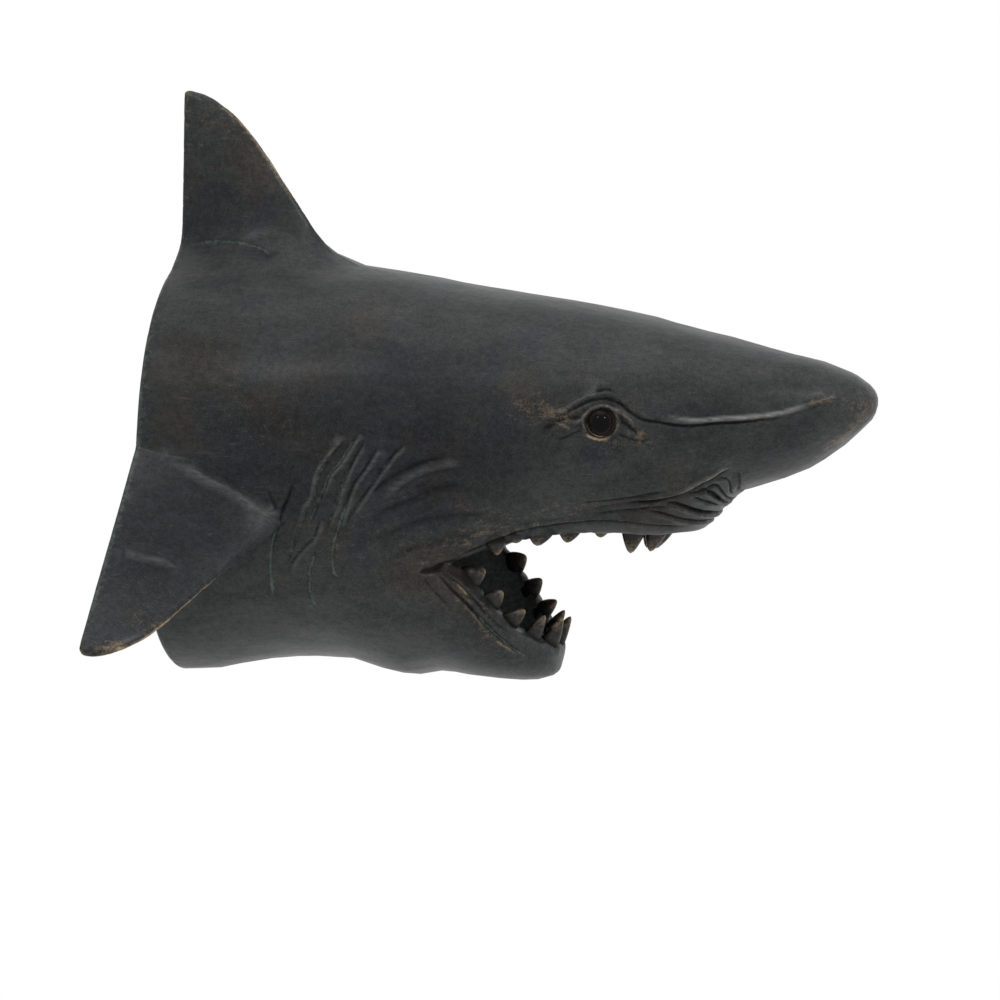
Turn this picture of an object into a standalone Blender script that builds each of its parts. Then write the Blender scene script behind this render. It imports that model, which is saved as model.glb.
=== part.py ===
# A shark's head to hang on a wall: one resin casting with a dorsal fin, two pectoral fins, an open mouth
# and its teeth, and a glass eye set into each side.
#
# Frame: +X from the wall to the nose, +Z up, the wall is the plane X = 0 and the origin is the middle of
# the flat back. The shark's right side, the one at -Y, faces the viewer.
#
# The outlines below are proportions, so that each follows the head's overall sizes: an X is a share of
# HEAD_LENGTH, a Y a share of half of BACK_WIDTH, and a Z a share of half of BACK_HEIGHT.

import math

import bmesh
import bpy
import numpy as np
from mathutils import Vector
from mathutils.bvhtree import BVHTree

# Driving dimensions, in metres
HEAD_LENGTH = 0.446
BACK_WIDTH = 0.220
BACK_HEIGHT = 0.256

DORSAL_RISE = 0.1045
DORSAL_THICKNESS = 0.026
PECTORAL_SPAN = 0.163
PECTORAL_THICKNESS = 0.024
PECTORAL_DROOP = math.radians(40.8)
PECTORAL_PITCH = math.radians(22)

TOOTH_WIDTH = 0.0125
TOOTH_THICKNESS = 0.0078
TOOTH_ROOT = 0.005

EYE_DIAMETER = 0.018
EYE_SHOWING = 0.0052
EYE_DEPTH = 0.0125
LID_RADIUS = 0.0112
LID_HEIGHT = 0.0016
LID_WIDTH = 0.0019
GLUE_GAP = 0.0003

FOLD_DEPTH = 0.0020
FOLD_WIDTH = 0.0020
FORM_RADIUS = 0.015
FORM_HEIGHT = 0.0015
FOOT_HEIGHT = 0.013
FOOT_ROUNDS = 40

KEYHOLE_HEIGHT = 0.080
KEYHOLE_ENTRY = 0.014
KEYHOLE_SLOT = 0.006
KEYHOLE_TRAVEL = 0.014
KEYHOLE_LIP = 0.004
KEYHOLE_DEPTH = 0.013
KEYHOLE_OVERLAP = 0.001

SKIN_GRAIN = 0.0020
SOFTENING = 8
SKIN_TRIANGLES = 8600
TRIM = 0.015

# Sections of the cranium and snout, from the wall to the nose: X, top, bottom, half width, widest height
CRANIUM = (
    (-0.034, 1.000, -1.000, 1.000, 0.000),
    (0.000, 1.000, -1.000, 1.000, 0.000),
    (0.052, 1.000, -0.993, 0.998, 0.004),
    (0.123, 0.998, -0.935, 0.990, 0.016),
    (0.235, 0.990, -0.910, 0.955, 0.047),
    (0.336, 0.945, -0.940, 0.898, 0.090),
    (0.385, 0.916, -0.860, 0.862, 0.120),
    (0.432, 0.892, -0.660, 0.824, 0.150),
    (0.484, 0.868, -0.500, 0.780, 0.185),
    (0.556, 0.836, -0.410, 0.728, 0.230),
    (0.628, 0.796, -0.390, 0.682, 0.262),
    (0.695, 0.746, -0.360, 0.632, 0.277),
    (0.738, 0.712, -0.296, 0.592, 0.282),
    (0.772, 0.684, -0.170, 0.556, 0.288),
    (0.805, 0.660, -0.062, 0.524, 0.300),
    (0.852, 0.617, -0.018, 0.458, 0.322),
    (0.895, 0.588, 0.036, 0.378, 0.345),
    (0.935, 0.552, 0.118, 0.295, 0.370),
    (0.962, 0.517, 0.196, 0.222, 0.378),
    (0.983, 0.472, 0.262, 0.148, 0.376),
    (0.996, 0.424, 0.322, 0.072, 0.374),
    (1.000, 0.374, 0.374, 0.000, 0.374),
)
# Sections of the throat and lower jaw, from inside the body to the chin
LOWER_JAW = (
    (0.040, 0.300, -0.880, 0.820, -0.080),
    (0.150, 0.200, -0.925, 0.925, -0.080),
    (0.235, 0.160, -0.912, 0.915, -0.100),
    (0.290, 0.060, -0.970, 0.880, -0.160),
    (0.340, -0.060, -1.002, 0.825, -0.260),
    (0.378, -0.150, -0.968, 0.765, -0.370),
    (0.405, -0.250, -0.985, 0.710, -0.480),
    (0.437, -0.380, -0.998, 0.625, -0.580),
    (0.470, -0.480, -1.010, 0.535, -0.675),
    (0.498, -0.590, -1.010, 0.440, -0.750),
    (0.520, -0.680, -1.002, 0.325, -0.830),
    (0.536, -0.745, -0.980, 0.195, -0.868),
    (0.542, -0.800, -0.945, 0.085, -0.880),
    (0.544, -0.880, -0.880, 0.000, -0.880),
)
# The hollow above the tongue, between the two rows of upper teeth
PALATE = (
    (0.292, -0.390, -0.390, 0.000, -0.390),
    (0.300, -0.300, -0.480, 0.160, -0.390),
    (0.325, -0.200, -0.580, 0.310, -0.390),
    (0.360, -0.135, -0.640, 0.410, -0.390),
    (0.405, -0.100, -0.660, 0.455, -0.390),
    (0.450, -0.090, -0.650, 0.455, -0.400),
    (0.490, -0.090, -0.620, 0.430, -0.390),
    (0.540, -0.098, -0.560, 0.360, -0.360),
    (0.580, -0.112, -0.510, 0.285, -0.345),
    (0.620, -0.145, -0.470, 0.190, -0.330),
    (0.650, -0.205, -0.420, 0.085, -0.330),
    (0.662, -0.330, -0.330, 0.000, -0.330),
)
# The scoop between the two rows of lower teeth
MOUTH_FLOOR = (
    (0.280, -0.500, -0.500, 0.000, -0.500),
    (0.290, -0.400, -0.610, 0.150, -0.500),
    (0.320, -0.300, -0.720, 0.290, -0.500),
    (0.365, -0.270, -0.810, 0.440, -0.505),
    (0.410, -0.280, -0.870, 0.455, -0.520),
    (0.450, -0.320, -0.895, 0.425, -0.560),
    (0.477, -0.390, -0.900, 0.365, -0.620),
    (0.498, -0.500, -0.890, 0.270, -0.690),
    (0.512, -0.620, -0.870, 0.150, -0.750),
    (0.518, -0.785, -0.785, 0.000, -0.785),
)
# The gape seen from the side, X and Z: along the upper gums, out in front, back along the lower gums
GAPE = (
    (0.413, -0.408),
    (0.437, -0.380),
    (0.473, -0.340),
    (0.513, -0.298),
    (0.554, -0.272),
    (0.599, -0.258),
    (0.650, -0.262),
    (0.700, -0.274),
    (0.730, -0.262),
    (0.900, -0.262),
    (0.900, -1.000),
    (0.620, -1.000),
    (0.545, -0.838),
    (0.527, -0.805),
    (0.498, -0.722),
    (0.477, -0.628),
    (0.452, -0.522),
    (0.434, -0.440),
)

# Leading edge of the dorsal fin: share of its rise above the back, X, share of its thickness
DORSAL_EDGE = (
    (-0.42, 0.310, 3.40),
    (-0.18, 0.276, 3.40),
    (-0.06, 0.262, 3.30),
    (0.00, 0.250, 2.75),
    (0.055, 0.224, 1.58),
    (0.10, 0.210, 1.10),
    (0.18, 0.192, 0.88),
    (0.30, 0.171, 0.75),
    (0.49, 0.141, 0.62),
    (0.68, 0.111, 0.51),
    (0.84, 0.079, 0.42),
    (0.94, 0.048, 0.35),
    (0.985, 0.024, 0.28),
    (1.00, 0.007, 0.20),
)
# Leading edge of a pectoral fin: share of its span, chord as a share of HEAD_LENGTH, share of its thickness
PECTORAL_EDGE = (
    (-0.20, 0.240, 1.05),
    (0.00, 0.227, 1.00),
    (0.06, 0.218, 0.94),
    (0.26, 0.179, 0.78),
    (0.52, 0.135, 0.62),
    (0.72, 0.104, 0.52),
    (0.84, 0.078, 0.45),
    (0.93, 0.050, 0.38),
    (0.98, 0.028, 0.31),
    (1.00, 0.012, 0.22),
)
# Where a pectoral fin leaves the body at the wall: Y and Z
PECTORAL_ROOT = (-0.975, 0.070)

# Teeth of one side, as seen in the mouth: foot X, Y, Z, then tip X, Y, Z, and shares of TOOTH_WIDTH and of
# TOOTH_THICKNESS
UPPER_TEETH = (
    ((0.486, 0.520, -0.300), (0.488, 0.512, -0.368), 1.05, 1.00),
    ((0.512, 0.478, -0.262), (0.513, 0.472, -0.312), 1.20, 1.05),
    ((0.544, 0.425, -0.240), (0.538, 0.420, -0.326), 1.50, 1.15),
    ((0.582, 0.360, -0.228), (0.577, 0.358, -0.312), 1.38, 1.10),
    ((0.622, 0.275, -0.226), (0.619, 0.272, -0.290), 1.15, 1.05),
    ((0.663, 0.190, -0.232), (0.656, 0.180, -0.370), 1.35, 1.30),
    ((0.689, 0.078, -0.240), (0.676, 0.066, -0.366), 1.25, 1.75),
)
LOWER_TEETH = (
    ((0.443, 0.462, -0.490), (0.464, 0.412, -0.446), 1.30, 1.10),
    ((0.471, 0.415, -0.608), (0.488, 0.395, -0.552), 1.10, 1.00),
    ((0.494, 0.345, -0.702), (0.515, 0.318, -0.648), 1.10, 1.05),
    ((0.515, 0.205, -0.790), (0.535, 0.190, -0.682), 1.05, 1.15),
    ((0.532, 0.080, -0.822), (0.552, 0.072, -0.702), 1.05, 1.30),
)

# Folds modelled into the skin: depth as a share of FOLD_DEPTH, half width as a share of FOLD_WIDTH, height
# of the ridge beside it as a share of FOLD_DEPTH, the way from the fold to that ridge, and the fold's
# course on one side of the head
FOLDS = {
    "snout_crease": (1.30, 0.90, 1.10, (0, 0, 1), (
        (0.690, 0.630, 0.312), (0.724, 0.605, 0.299), (0.744, 0.568, 0.291), (0.765, 0.541, 0.286),
        (0.787, 0.518, 0.291), (0.808, 0.494, 0.298), (0.829, 0.466, 0.305), (0.861, 0.419, 0.312),
        (0.892, 0.368, 0.322), (0.912, 0.328, 0.340), (0.928, 0.293, 0.357), (0.941, 0.258, 0.372),
        (0.962, 0.208, 0.388), (0.985, 0.120, 0.402),
    )),
    "eye_back_corner": (0.75, 1.00, 0.15, (0, 0, 1), (
        (0.626, 0.683, 0.312), (0.612, 0.690, 0.318), (0.596, 0.700, 0.312), (0.578, 0.712, 0.280),
        (0.562, 0.720, 0.250),
    )),
    "lip_fold": (1.30, 0.90, 1.05, (-0.3, 0, 1), (
        (0.828, 0.430, 0.165), (0.823, 0.380, 0.114), (0.816, 0.340, 0.064), (0.807, 0.341, 0.035),
        (0.794, 0.351, 0.003), (0.781, 0.372, -0.023), (0.769, 0.402, -0.041), (0.753, 0.429, -0.058),
        (0.731, 0.452, -0.074), (0.705, 0.470, -0.085), (0.680, 0.500, -0.095),
    )),
    "jaw_and_snout": (1.30, 1.30, 0.00, (1, 0, 0), (
        (0.823, 0.360, 0.070), (0.815, 0.260, 0.0), (0.808, 0.130, -0.050), (0.805, 0.0, -0.060),
    )),
    "jaw_wrinkle_1": (1.00, 0.90, 0.60, (0, 0, -1), (
        (0.768, 0.445, -0.005), (0.776, 0.380, -0.030), (0.786, 0.261, -0.082), (0.788, 0.130, -0.108),
        (0.787, 0.0, -0.112),
    )),
    "jaw_wrinkle_2": (1.10, 0.90, 0.70, (0, 0, -1), (
        (0.742, 0.430, -0.072), (0.756, 0.390, -0.100), (0.770, 0.240, -0.143), (0.777, 0.120, -0.150),
        (0.777, 0.0, -0.152),
    )),
    "jaw_wrinkle_3": (1.00, 0.90, 0.65, (0, 0, -1), (
        (0.703, 0.436, -0.157), (0.731, 0.384, -0.166), (0.747, 0.297, -0.190), (0.764, 0.130, -0.204),
        (0.766, 0.0, -0.204),
    )),
    "cheek_fold": (0.35, 1.40, 0.40, (0, 0, 1), (
        (0.580, 0.560, -0.140), (0.641, 0.534, -0.128), (0.677, 0.526, -0.112), (0.720, 0.500, -0.100),
        (0.752, 0.440, -0.080), (0.775, 0.380, -0.050),
    )),
    "upper_lip": (1.00, 1.00, 0.40, (0, 0, 1), (
        (0.430, 0.660, -0.392), (0.453, 0.582, -0.350), (0.494, 0.539, -0.286), (0.529, 0.523, -0.243),
        (0.565, 0.501, -0.222), (0.601, 0.489, -0.207), (0.636, 0.471, -0.200), (0.671, 0.438, -0.208),
        (0.704, 0.381, -0.230), (0.730, 0.312, -0.244), (0.748, 0.220, -0.250),
    )),
    "lower_lip": (1.00, 0.90, 0.90, (-0.7, 0, -0.7), (
        (0.405, 0.680, -0.440), (0.419, 0.665, -0.475), (0.430, 0.644, -0.522), (0.442, 0.603, -0.577),
        (0.454, 0.569, -0.628), (0.464, 0.544, -0.672), (0.474, 0.510, -0.717), (0.488, 0.468, -0.762),
        (0.500, 0.402, -0.816), (0.512, 0.337, -0.857), (0.521, 0.270, -0.887), (0.532, 0.150, -0.912),
        (0.537, 0.0, -0.922),
    )),
    "lower_gum": (0.60, 0.90, 0.00, (0, 0, 1), (
        (0.418, 0.640, -0.435), (0.434, 0.575, -0.475), (0.447, 0.520, -0.540), (0.468, 0.485, -0.630),
        (0.492, 0.435, -0.735), (0.512, 0.335, -0.800), (0.528, 0.215, -0.850), (0.538, 0.0, -0.870),
    )),
    "mouth_corner": (1.50, 1.20, 0.30, (0, 0, 1), (
        (0.372, 0.760, -0.462), (0.386, 0.740, -0.450), (0.400, 0.714, -0.438), (0.414, 0.660, -0.422),
        (0.430, 0.600, -0.405),
    )),
    "gill_1": (0.60, 0.90, 0.25, (1, 0, 0), (
        (0.226, 0.955, 0.030), (0.223, 0.958, -0.029), (0.217, 0.945, -0.084), (0.210, 0.936, -0.130),
        (0.204, 0.940, -0.187), (0.199, 0.930, -0.240), (0.191, 0.890, -0.306), (0.186, 0.846, -0.369),
        (0.183, 0.808, -0.439), (0.182, 0.781, -0.500), (0.181, 0.742, -0.568),
    )),
    "gill_2": (0.65, 0.90, 0.25, (1, 0, 0), (
        (0.324, 0.884, 0.281), (0.317, 0.895, 0.249), (0.302, 0.897, 0.188), (0.292, 0.905, 0.136),
        (0.281, 0.916, 0.076), (0.271, 0.927, 0.016), (0.258, 0.935, -0.043), (0.251, 0.928, -0.104),
        (0.244, 0.922, -0.157), (0.235, 0.914, -0.206),
    )),
    "gill_3": (0.30, 0.90, 0.15, (1, 0, 0), (
        (0.248, 0.889, -0.240), (0.232, 0.871, -0.289), (0.220, 0.860, -0.342), (0.211, 0.832, -0.405),
        (0.202, 0.809, -0.479),
    )),
    "gill_4": (0.45, 0.90, 0.20, (1, 0, 0), (
        (0.252, 0.860, -0.320), (0.247, 0.845, -0.380), (0.240, 0.812, -0.434), (0.238, 0.784, -0.481),
        (0.235, 0.738, -0.536), (0.238, 0.690, -0.620),
    )),
    "gill_5": (0.40, 0.90, 0.20, (1, 0, 0), (
        (0.352, 0.881, 0.210), (0.343, 0.882, 0.153), (0.327, 0.881, 0.070), (0.312, 0.888, -0.013),
        (0.301, 0.888, -0.088), (0.292, 0.886, -0.156), (0.287, 0.868, -0.210), (0.277, 0.864, -0.278),
        (0.274, 0.851, -0.338), (0.274, 0.832, -0.418), (0.277, 0.803, -0.488),
    )),
    "fin_ridge": (-1.20, 2.75, 0.00, (0, 0, 1), (
        (0.060, 1.027, 0.065), (0.100, 1.049, 0.019), (0.129, 1.051, -0.031), (0.155, 1.044, -0.082),
        (0.176, 1.028, -0.118), (0.200, 0.990, -0.175),
    )),
    "lid_ridge": (-0.85, 0.85, 0.00, (0, 0, 1), (
        (0.592, 0.704, 0.271), (0.603, 0.690, 0.282), (0.615, 0.682, 0.298), (0.626, 0.680, 0.330),
        (0.636, 0.664, 0.358), (0.648, 0.659, 0.374), (0.661, 0.655, 0.371), (0.673, 0.636, 0.347),
        (0.684, 0.628, 0.313), (0.694, 0.615, 0.283), (0.705, 0.615, 0.255),
    )),
    "lid_crease": (0.90, 0.85, 0.65, (0, 0, 1), (
        (0.575, 0.712, 0.290), (0.586, 0.708, 0.318), (0.602, 0.699, 0.345), (0.620, 0.669, 0.382),
        (0.635, 0.656, 0.405), (0.654, 0.646, 0.412), (0.671, 0.634, 0.392), (0.683, 0.622, 0.358),
        (0.696, 0.615, 0.325), (0.714, 0.617, 0.304), (0.736, 0.579, 0.292),
    )),
    "under_snout_crease": (0.80, 3.00, 0.00, (0, 0, 1), (
        (0.710, 0.610, 0.235), (0.765, 0.540, 0.220), (0.829, 0.466, 0.240), (0.880, 0.390, 0.262),
        (0.925, 0.300, 0.300), (0.955, 0.220, 0.335),
    )),
}
# Soft forms: middle, radius as a share of FORM_RADIUS and height as a share of FORM_HEIGHT, a hollow where
# the height is below zero
SWELLINGS = (
    ((0.650, 0.640, 0.290), 1.13, -2.00),
    ((0.660, 0.600, 0.480), 1.00, 1.73),
    ((0.600, 0.690, 0.200), 1.47, 0.80),
    ((0.780, 0.400, -0.060), 1.07, 0.80),
    ((0.860, 0.330, 0.180), 1.73, -0.93),
    ((0.440, 0.640, -0.340), 1.07, 1.07),
    ((0.460, 0.540, -0.800), 1.33, 0.80),
    ((0.400, 0.700, -0.700), 1.87, 1.07),
    ((0.244, 0.930, 0.060), 1.13, 1.07),
    ((0.275, 0.900, -0.120), 0.87, 0.93),
    ((0.262, 0.850, -0.420), 0.87, 0.80),
    ((0.205, 0.930, -0.330), 0.67, 0.80),
)

EYE_PLACE = (0.647, 0.660, 0.297)
SIDE_POINTS = 48
LOFT_STEPS = 4
TOOTH_SIDES = 8
BALL_RINGS = 6


def spot(x, y, z):
    """A point of the head from its three shares."""
    return Vector((x * HEAD_LENGTH, y * BACK_WIDTH / 2, z * BACK_HEIGHT / 2))


def material(name, colour, roughness, metallic):
    made = bpy.data.materials.new(name)
    made.use_nodes = True
    shader = made.node_tree.nodes["Principled BSDF"]
    shader.inputs["Base Color"].default_value = (*colour, 1)
    shader.inputs["Roughness"].default_value = roughness
    shader.inputs["Metallic"].default_value = metallic
    made.diffuse_color = (*colour, 1)
    return made


def add_object(name, mesh):
    thing = bpy.data.objects.new(name, mesh)
    bpy.context.scene.collection.objects.link(thing)
    return thing


def add_helper(name, mesh):
    """An object that only shapes another one."""
    helper = add_object(name, mesh)
    helper.hide_render = True
    helper.display_type = "WIRE"
    return helper


def mesh_from_rings(name, rings):
    """A closed mesh through rings of equally many points. A ring of one point closes an end to that point,
    and any other end is filled flat."""
    shape = bmesh.new()
    rows = [[shape.verts.new(point) for point in ring] for ring in rings]
    for row, after in zip(rows, rows[1:]):
        count = max(len(row), len(after))
        for i in range(count):
            j = (i + 1) % count
            corners = [row[i % len(row)], row[j % len(row)], after[j % len(after)], after[i % len(after)]]
            shape.faces.new(list(dict.fromkeys(corners)))
    for end in (rows[0], rows[-1]):
        if len(end) > 1:
            shape.faces.new(end)
    bmesh.ops.recalc_face_normals(shape, faces=shape.faces)
    if shape.calc_volume(signed=True) < 0:
        bmesh.ops.reverse_faces(shape, faces=shape.faces)
    mesh = bpy.data.meshes.new(name)
    shape.to_mesh(mesh)
    shape.free()
    return mesh


def smooth_rows(rows, steps):
    """Rows of numbers with steps smooth ones after each, on a curve through them all that bunches up
    nowhere and does not overshoot."""
    table = np.array(rows, float)
    slopes = np.zeros_like(table)
    before, after = table[1:-1] - table[:-2], table[2:] - table[1:-1]
    same_way = before * after > 0
    total = np.where(same_way, before + after, 1)
    slopes[1:-1] = np.where(same_way, 2 * before * after / total, 0)
    slopes[0], slopes[-1] = table[1] - table[0], table[-1] - table[-2]
    closing = np.isclose(rows[-1][1], rows[-1][2])
    if closing:
        slopes[-1, 0] = 0
    made = []
    for i in range(len(table) - 1):
        for step in range(steps):
            t = step / steps
            made.append(
                (2 * t**3 - 3 * t**2 + 1) * table[i]
                + (t**3 - 2 * t**2 + t) * slopes[i]
                + (3 * t**2 - 2 * t**3) * table[i + 1]
                + (t**3 - t**2) * slopes[i + 1]
            )
    made.append(table[-1])
    return made


def section(x, top, bottom, half_width, widest, fullness):
    """One cross-section: an upper and a lower half-oval that meet at the widest height."""
    if half_width < 1e-6:
        return [spot(x, 0, widest)]
    ring = []
    for i in range(SIDE_POINTS):
        turn = math.tau * i / SIDE_POINTS
        power = 2 / fullness[0] if math.sin(turn) > 0 else 2 / fullness[1]
        across = math.copysign(abs(math.cos(turn)) ** power, math.cos(turn))
        upward = math.copysign(abs(math.sin(turn)) ** power, math.sin(turn))
        reach = top - widest if upward > 0 else widest - bottom
        ring.append(spot(x, half_width * across, widest + reach * upward))
    return ring


def body_loft(name, stations, fullness):
    rows = smooth_rows(stations, LOFT_STEPS)
    return mesh_from_rings(name, [section(*row, fullness) for row in rows])


def fin_loft(name, root, outward, chordwise, span, thickness, edge):
    """A fin from its leading edge. Each section starts behind the wall, keeps most of its thickness there
    and is round at its leading edge."""
    across = outward.cross(chordwise).normalized()
    rings = []
    for share, chord_share, thick_share in smooth_rows(edge, LOFT_STEPS):
        chord = chord_share * HEAD_LENGTH
        foot = root + outward * (share * span)
        half = thickness * thick_share / 2
        one_side = []
        for along in (0.0, 0.15, 0.3, 0.45, 0.6, 0.73, 0.84, 0.92, 0.97, 1.0):
            swell = math.sqrt(1 - along**3) * (0.72 + 1.1 * along * (1 - along))
            one_side.append((chord * along, half * swell))
        one_side.insert(0, (-TRIM, half * 0.72))
        ring = [foot + chordwise * far + across * out for far, out in one_side]
        ring += [foot + chordwise * far - across * out for far, out in reversed(one_side[:-1])]
        rings.append(ring)
    return mesh_from_rings(name, rings)


def prism(name, outline, reach):
    """The gape's outline, run across the whole head."""
    rings = [[spot(x, side * reach, z) for x, z in outline] for side in (-1, 1)]
    return mesh_from_rings(name, rings)


def mirrored(point, side):
    return Vector((point[0], point[1] * side, point[2]))


def tooth(name, foot, tip, along_jaw, width, thickness):
    """A flattened cone that leans towards its tip, with its foot sunk into the gum."""
    lean = tip - foot
    height = lean.length
    up = lean.normalized()
    wide = (along_jaw - up * along_jaw.dot(up)).normalized()
    thin = up.cross(wide)
    profile = ((-TOOTH_ROOT / height, 1.06), (0.0, 1.0), (0.35, 0.83), (0.68, 0.55), (0.90, 0.27), (0.98, 0.12))
    rings = []
    for share, size in profile:
        middle = foot + up * (share * height)
        rings.append(
            [
                middle
                + wide * (math.cos(turn) * size * width / 2)
                + thin * (math.sin(turn) * size * thickness / 2)
                for turn in (math.tau * i / TOOTH_SIDES for i in range(TOOTH_SIDES))
            ]
        )
    rings.append([tip])
    return mesh_from_rings(name, rings)


def row_of_teeth(label, teeth, side):
    """The teeth of one side of one jaw, each set across the line to its neighbours."""
    feet = [spot(*foot) for foot, _, _, _ in teeth]
    made = []
    for i, (_, tip, width, thickness) in enumerate(teeth):
        before, after = feet[max(i - 1, 0)], feet[min(i + 1, len(feet) - 1)]
        mesh = tooth(
            f"{label}_{i}",
            mirrored(feet[i], side),
            mirrored(spot(*tip), side),
            mirrored((after - before).normalized(), side),
            width * TOOTH_WIDTH,
            thickness * TOOTH_THICKNESS,
        )
        made.append(mesh)
    return made


def add_modifier(thing, kind, **settings):
    modifier = thing.modifiers.new(kind.title(), kind)
    for key, value in settings.items():
        setattr(modifier, key, value)
    return modifier


def boolean(thing, other, operation):
    add_modifier(thing, "BOOLEAN", object=other, operation=operation, solver="EXACT")


def baked(thing):
    """The object's mesh as its modifiers leave it."""
    bpy.context.view_layer.update()
    graph = bpy.context.evaluated_depsgraph_get()
    return bpy.data.meshes.new_from_object(thing.evaluated_get(graph))


def remove(*things):
    for thing in things:
        bpy.data.objects.remove(thing)


def joined(name, meshes):
    """Several closed meshes in one, still overlapping."""
    shape = bmesh.new()
    for mesh in meshes:
        shape.from_mesh(mesh)
    mesh = bpy.data.meshes.new(name)
    shape.to_mesh(mesh)
    shape.free()
    return mesh


def jaw_meshes():
    """The cranium and the lower jaw, each with the gape and the mouth's two hollows cut from it."""
    gape = add_helper("gape", prism("gape", GAPE, 1.6))
    palate = add_helper("palate", body_loft("palate", PALATE, (2.4, 2.4)))
    floor = add_helper("mouth_floor", body_loft("mouth_floor", MOUTH_FLOOR, (2.3, 2.3)))
    meshes = []
    for name, stations, fullness in (("cranium", CRANIUM, (2.1, 1.9)), ("lower_jaw", LOWER_JAW, (2.0, 1.95))):
        half = add_helper(name, body_loft(name, stations, fullness))
        for cutter in (gape, palate, floor):
            boolean(half, cutter, "DIFFERENCE")
        meshes.append(baked(half))
        remove(half)
    remove(gape, palate, floor)
    return meshes


def fin_meshes():
    top = Vector((0, 0, BACK_HEIGHT / 2))
    meshes = [
        fin_loft("dorsal_fin", top, Vector((0, 0, 1)), Vector((1, 0, 0)), DORSAL_RISE, DORSAL_THICKNESS, DORSAL_EDGE)
    ]
    for side in (-1, 1):
        root = spot(0, -side * PECTORAL_ROOT[0], PECTORAL_ROOT[1])
        outward = Vector((0, side * math.cos(PECTORAL_DROOP), -math.sin(PECTORAL_DROOP)))
        chordwise = Vector((math.cos(PECTORAL_PITCH), 0, -math.sin(PECTORAL_PITCH)))
        meshes.append(
            fin_loft(
                "pectoral_fin", root, outward, chordwise, PECTORAL_SPAN, PECTORAL_THICKNESS, PECTORAL_EDGE
            )
        )
    return meshes


def skin_tree(mesh):
    return BVHTree.FromPolygons([v.co.copy() for v in mesh.vertices], [list(f.vertices) for f in mesh.polygons])


def mesh_arrays(mesh):
    """The vertices, folded over to one side of the head, and their normals likewise."""
    places = np.empty(len(mesh.vertices) * 3)
    normals = np.empty(len(mesh.vertices) * 3)
    mesh.vertices.foreach_get("co", places)
    mesh.vertex_normals.foreach_get("vector", normals)
    return places.reshape(-1, 3), normals.reshape(-1, 3)


def offsets_from(places, course):
    """From the nearest point of a course to each place: the offset, its length, and the share of the
    course's length that lies before it."""
    steps = np.linalg.norm(np.diff(course, axis=0), axis=1)
    before = np.concatenate(([0], np.cumsum(steps)))
    nearest = np.full(len(places), np.inf)
    offsets = np.zeros_like(places)
    shares = np.zeros(len(places))
    for start, end, step, gone in zip(course, course[1:], steps, before):
        along = np.clip((places - start) @ (end - start) / step**2, 0, 1)
        offset = places - (start + along[:, None] * (end - start))
        far = np.linalg.norm(offset, axis=1)
        closer = far < nearest
        nearest[closer] = far[closer]
        offsets[closer] = offset[closer]
        shares[closer] = (gone + along[closer] * step) / before[-1]
    return offsets, nearest, shares


def rounded_course(points):
    """A smooth course through points, with four steps from each to the next."""
    ends = [points[0] * 2 - points[1], *points, points[-1] * 2 - points[-2]]
    course = []
    for a, b, c, d in zip(ends, ends[1:], ends[2:], ends[3:]):
        for t in (0, 0.25, 0.5, 0.75):
            course.append(
                0.5 * (2 * b + (c - a) * t + (2 * a - 5 * b + 4 * c - d) * t**2 + (3 * b - a - 3 * c + d) * t**3)
            )
    return course + [points[-1]]


def fold_heights(places, tree, fold):
    """How far one fold raises or lowers each place of the skin. It fades out at both ends."""
    depth, width, ridge, toward, points = fold
    depth, width, ridge = depth * FOLD_DEPTH, width * FOLD_WIDTH, ridge * FOLD_DEPTH
    snapped = [tree.find_nearest(spot(*point))[0] for point in points]
    course = np.array(rounded_course([Vector(p) for p in snapped]))
    reach = 5 * width
    close = np.all((places > course.min(axis=0) - reach) & (places < course.max(axis=0) + reach), axis=1)
    heights = np.zeros(len(places))
    offsets, far, shares = offsets_from(places[close], course)
    fade_out = np.where(course[-1][1] < SKIN_GRAIN, 1, np.clip((1 - shares) / 0.22, 0, 1))
    fade = np.minimum(np.clip(shares / 0.22, 0, 1), fade_out)
    fade = fade * fade * (3 - 2 * fade)
    beside = 0.5 + 0.5 * np.tanh(offsets @ (np.array(toward, float) / width))
    groove = -depth * np.exp(-((far / width) ** 2))
    rise = ridge * beside * np.exp(-(((far - 1.9 * width) / (1.3 * width)) ** 2))
    heights[close] = fade * (groove + rise)
    return heights


def eye_seat(tree, side):
    """Where an eye sits on the skin, and the way that it looks."""
    seat, facing, _, _ = tree.find_nearest(spot(*EYE_PLACE))
    return mirrored(seat, side), mirrored(facing, side)


def lid_heights(places, middle):
    """The ring of the eyelids, thicker above the eye."""
    far = np.linalg.norm(places - np.array(middle), axis=1)
    above = np.clip((places[:, 2] - middle[2]) / LID_RADIUS, -1, 1)
    return LID_HEIGHT * (1 + 0.4 * above) * np.exp(-(((far - LID_RADIUS) / LID_WIDTH) ** 2))


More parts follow.
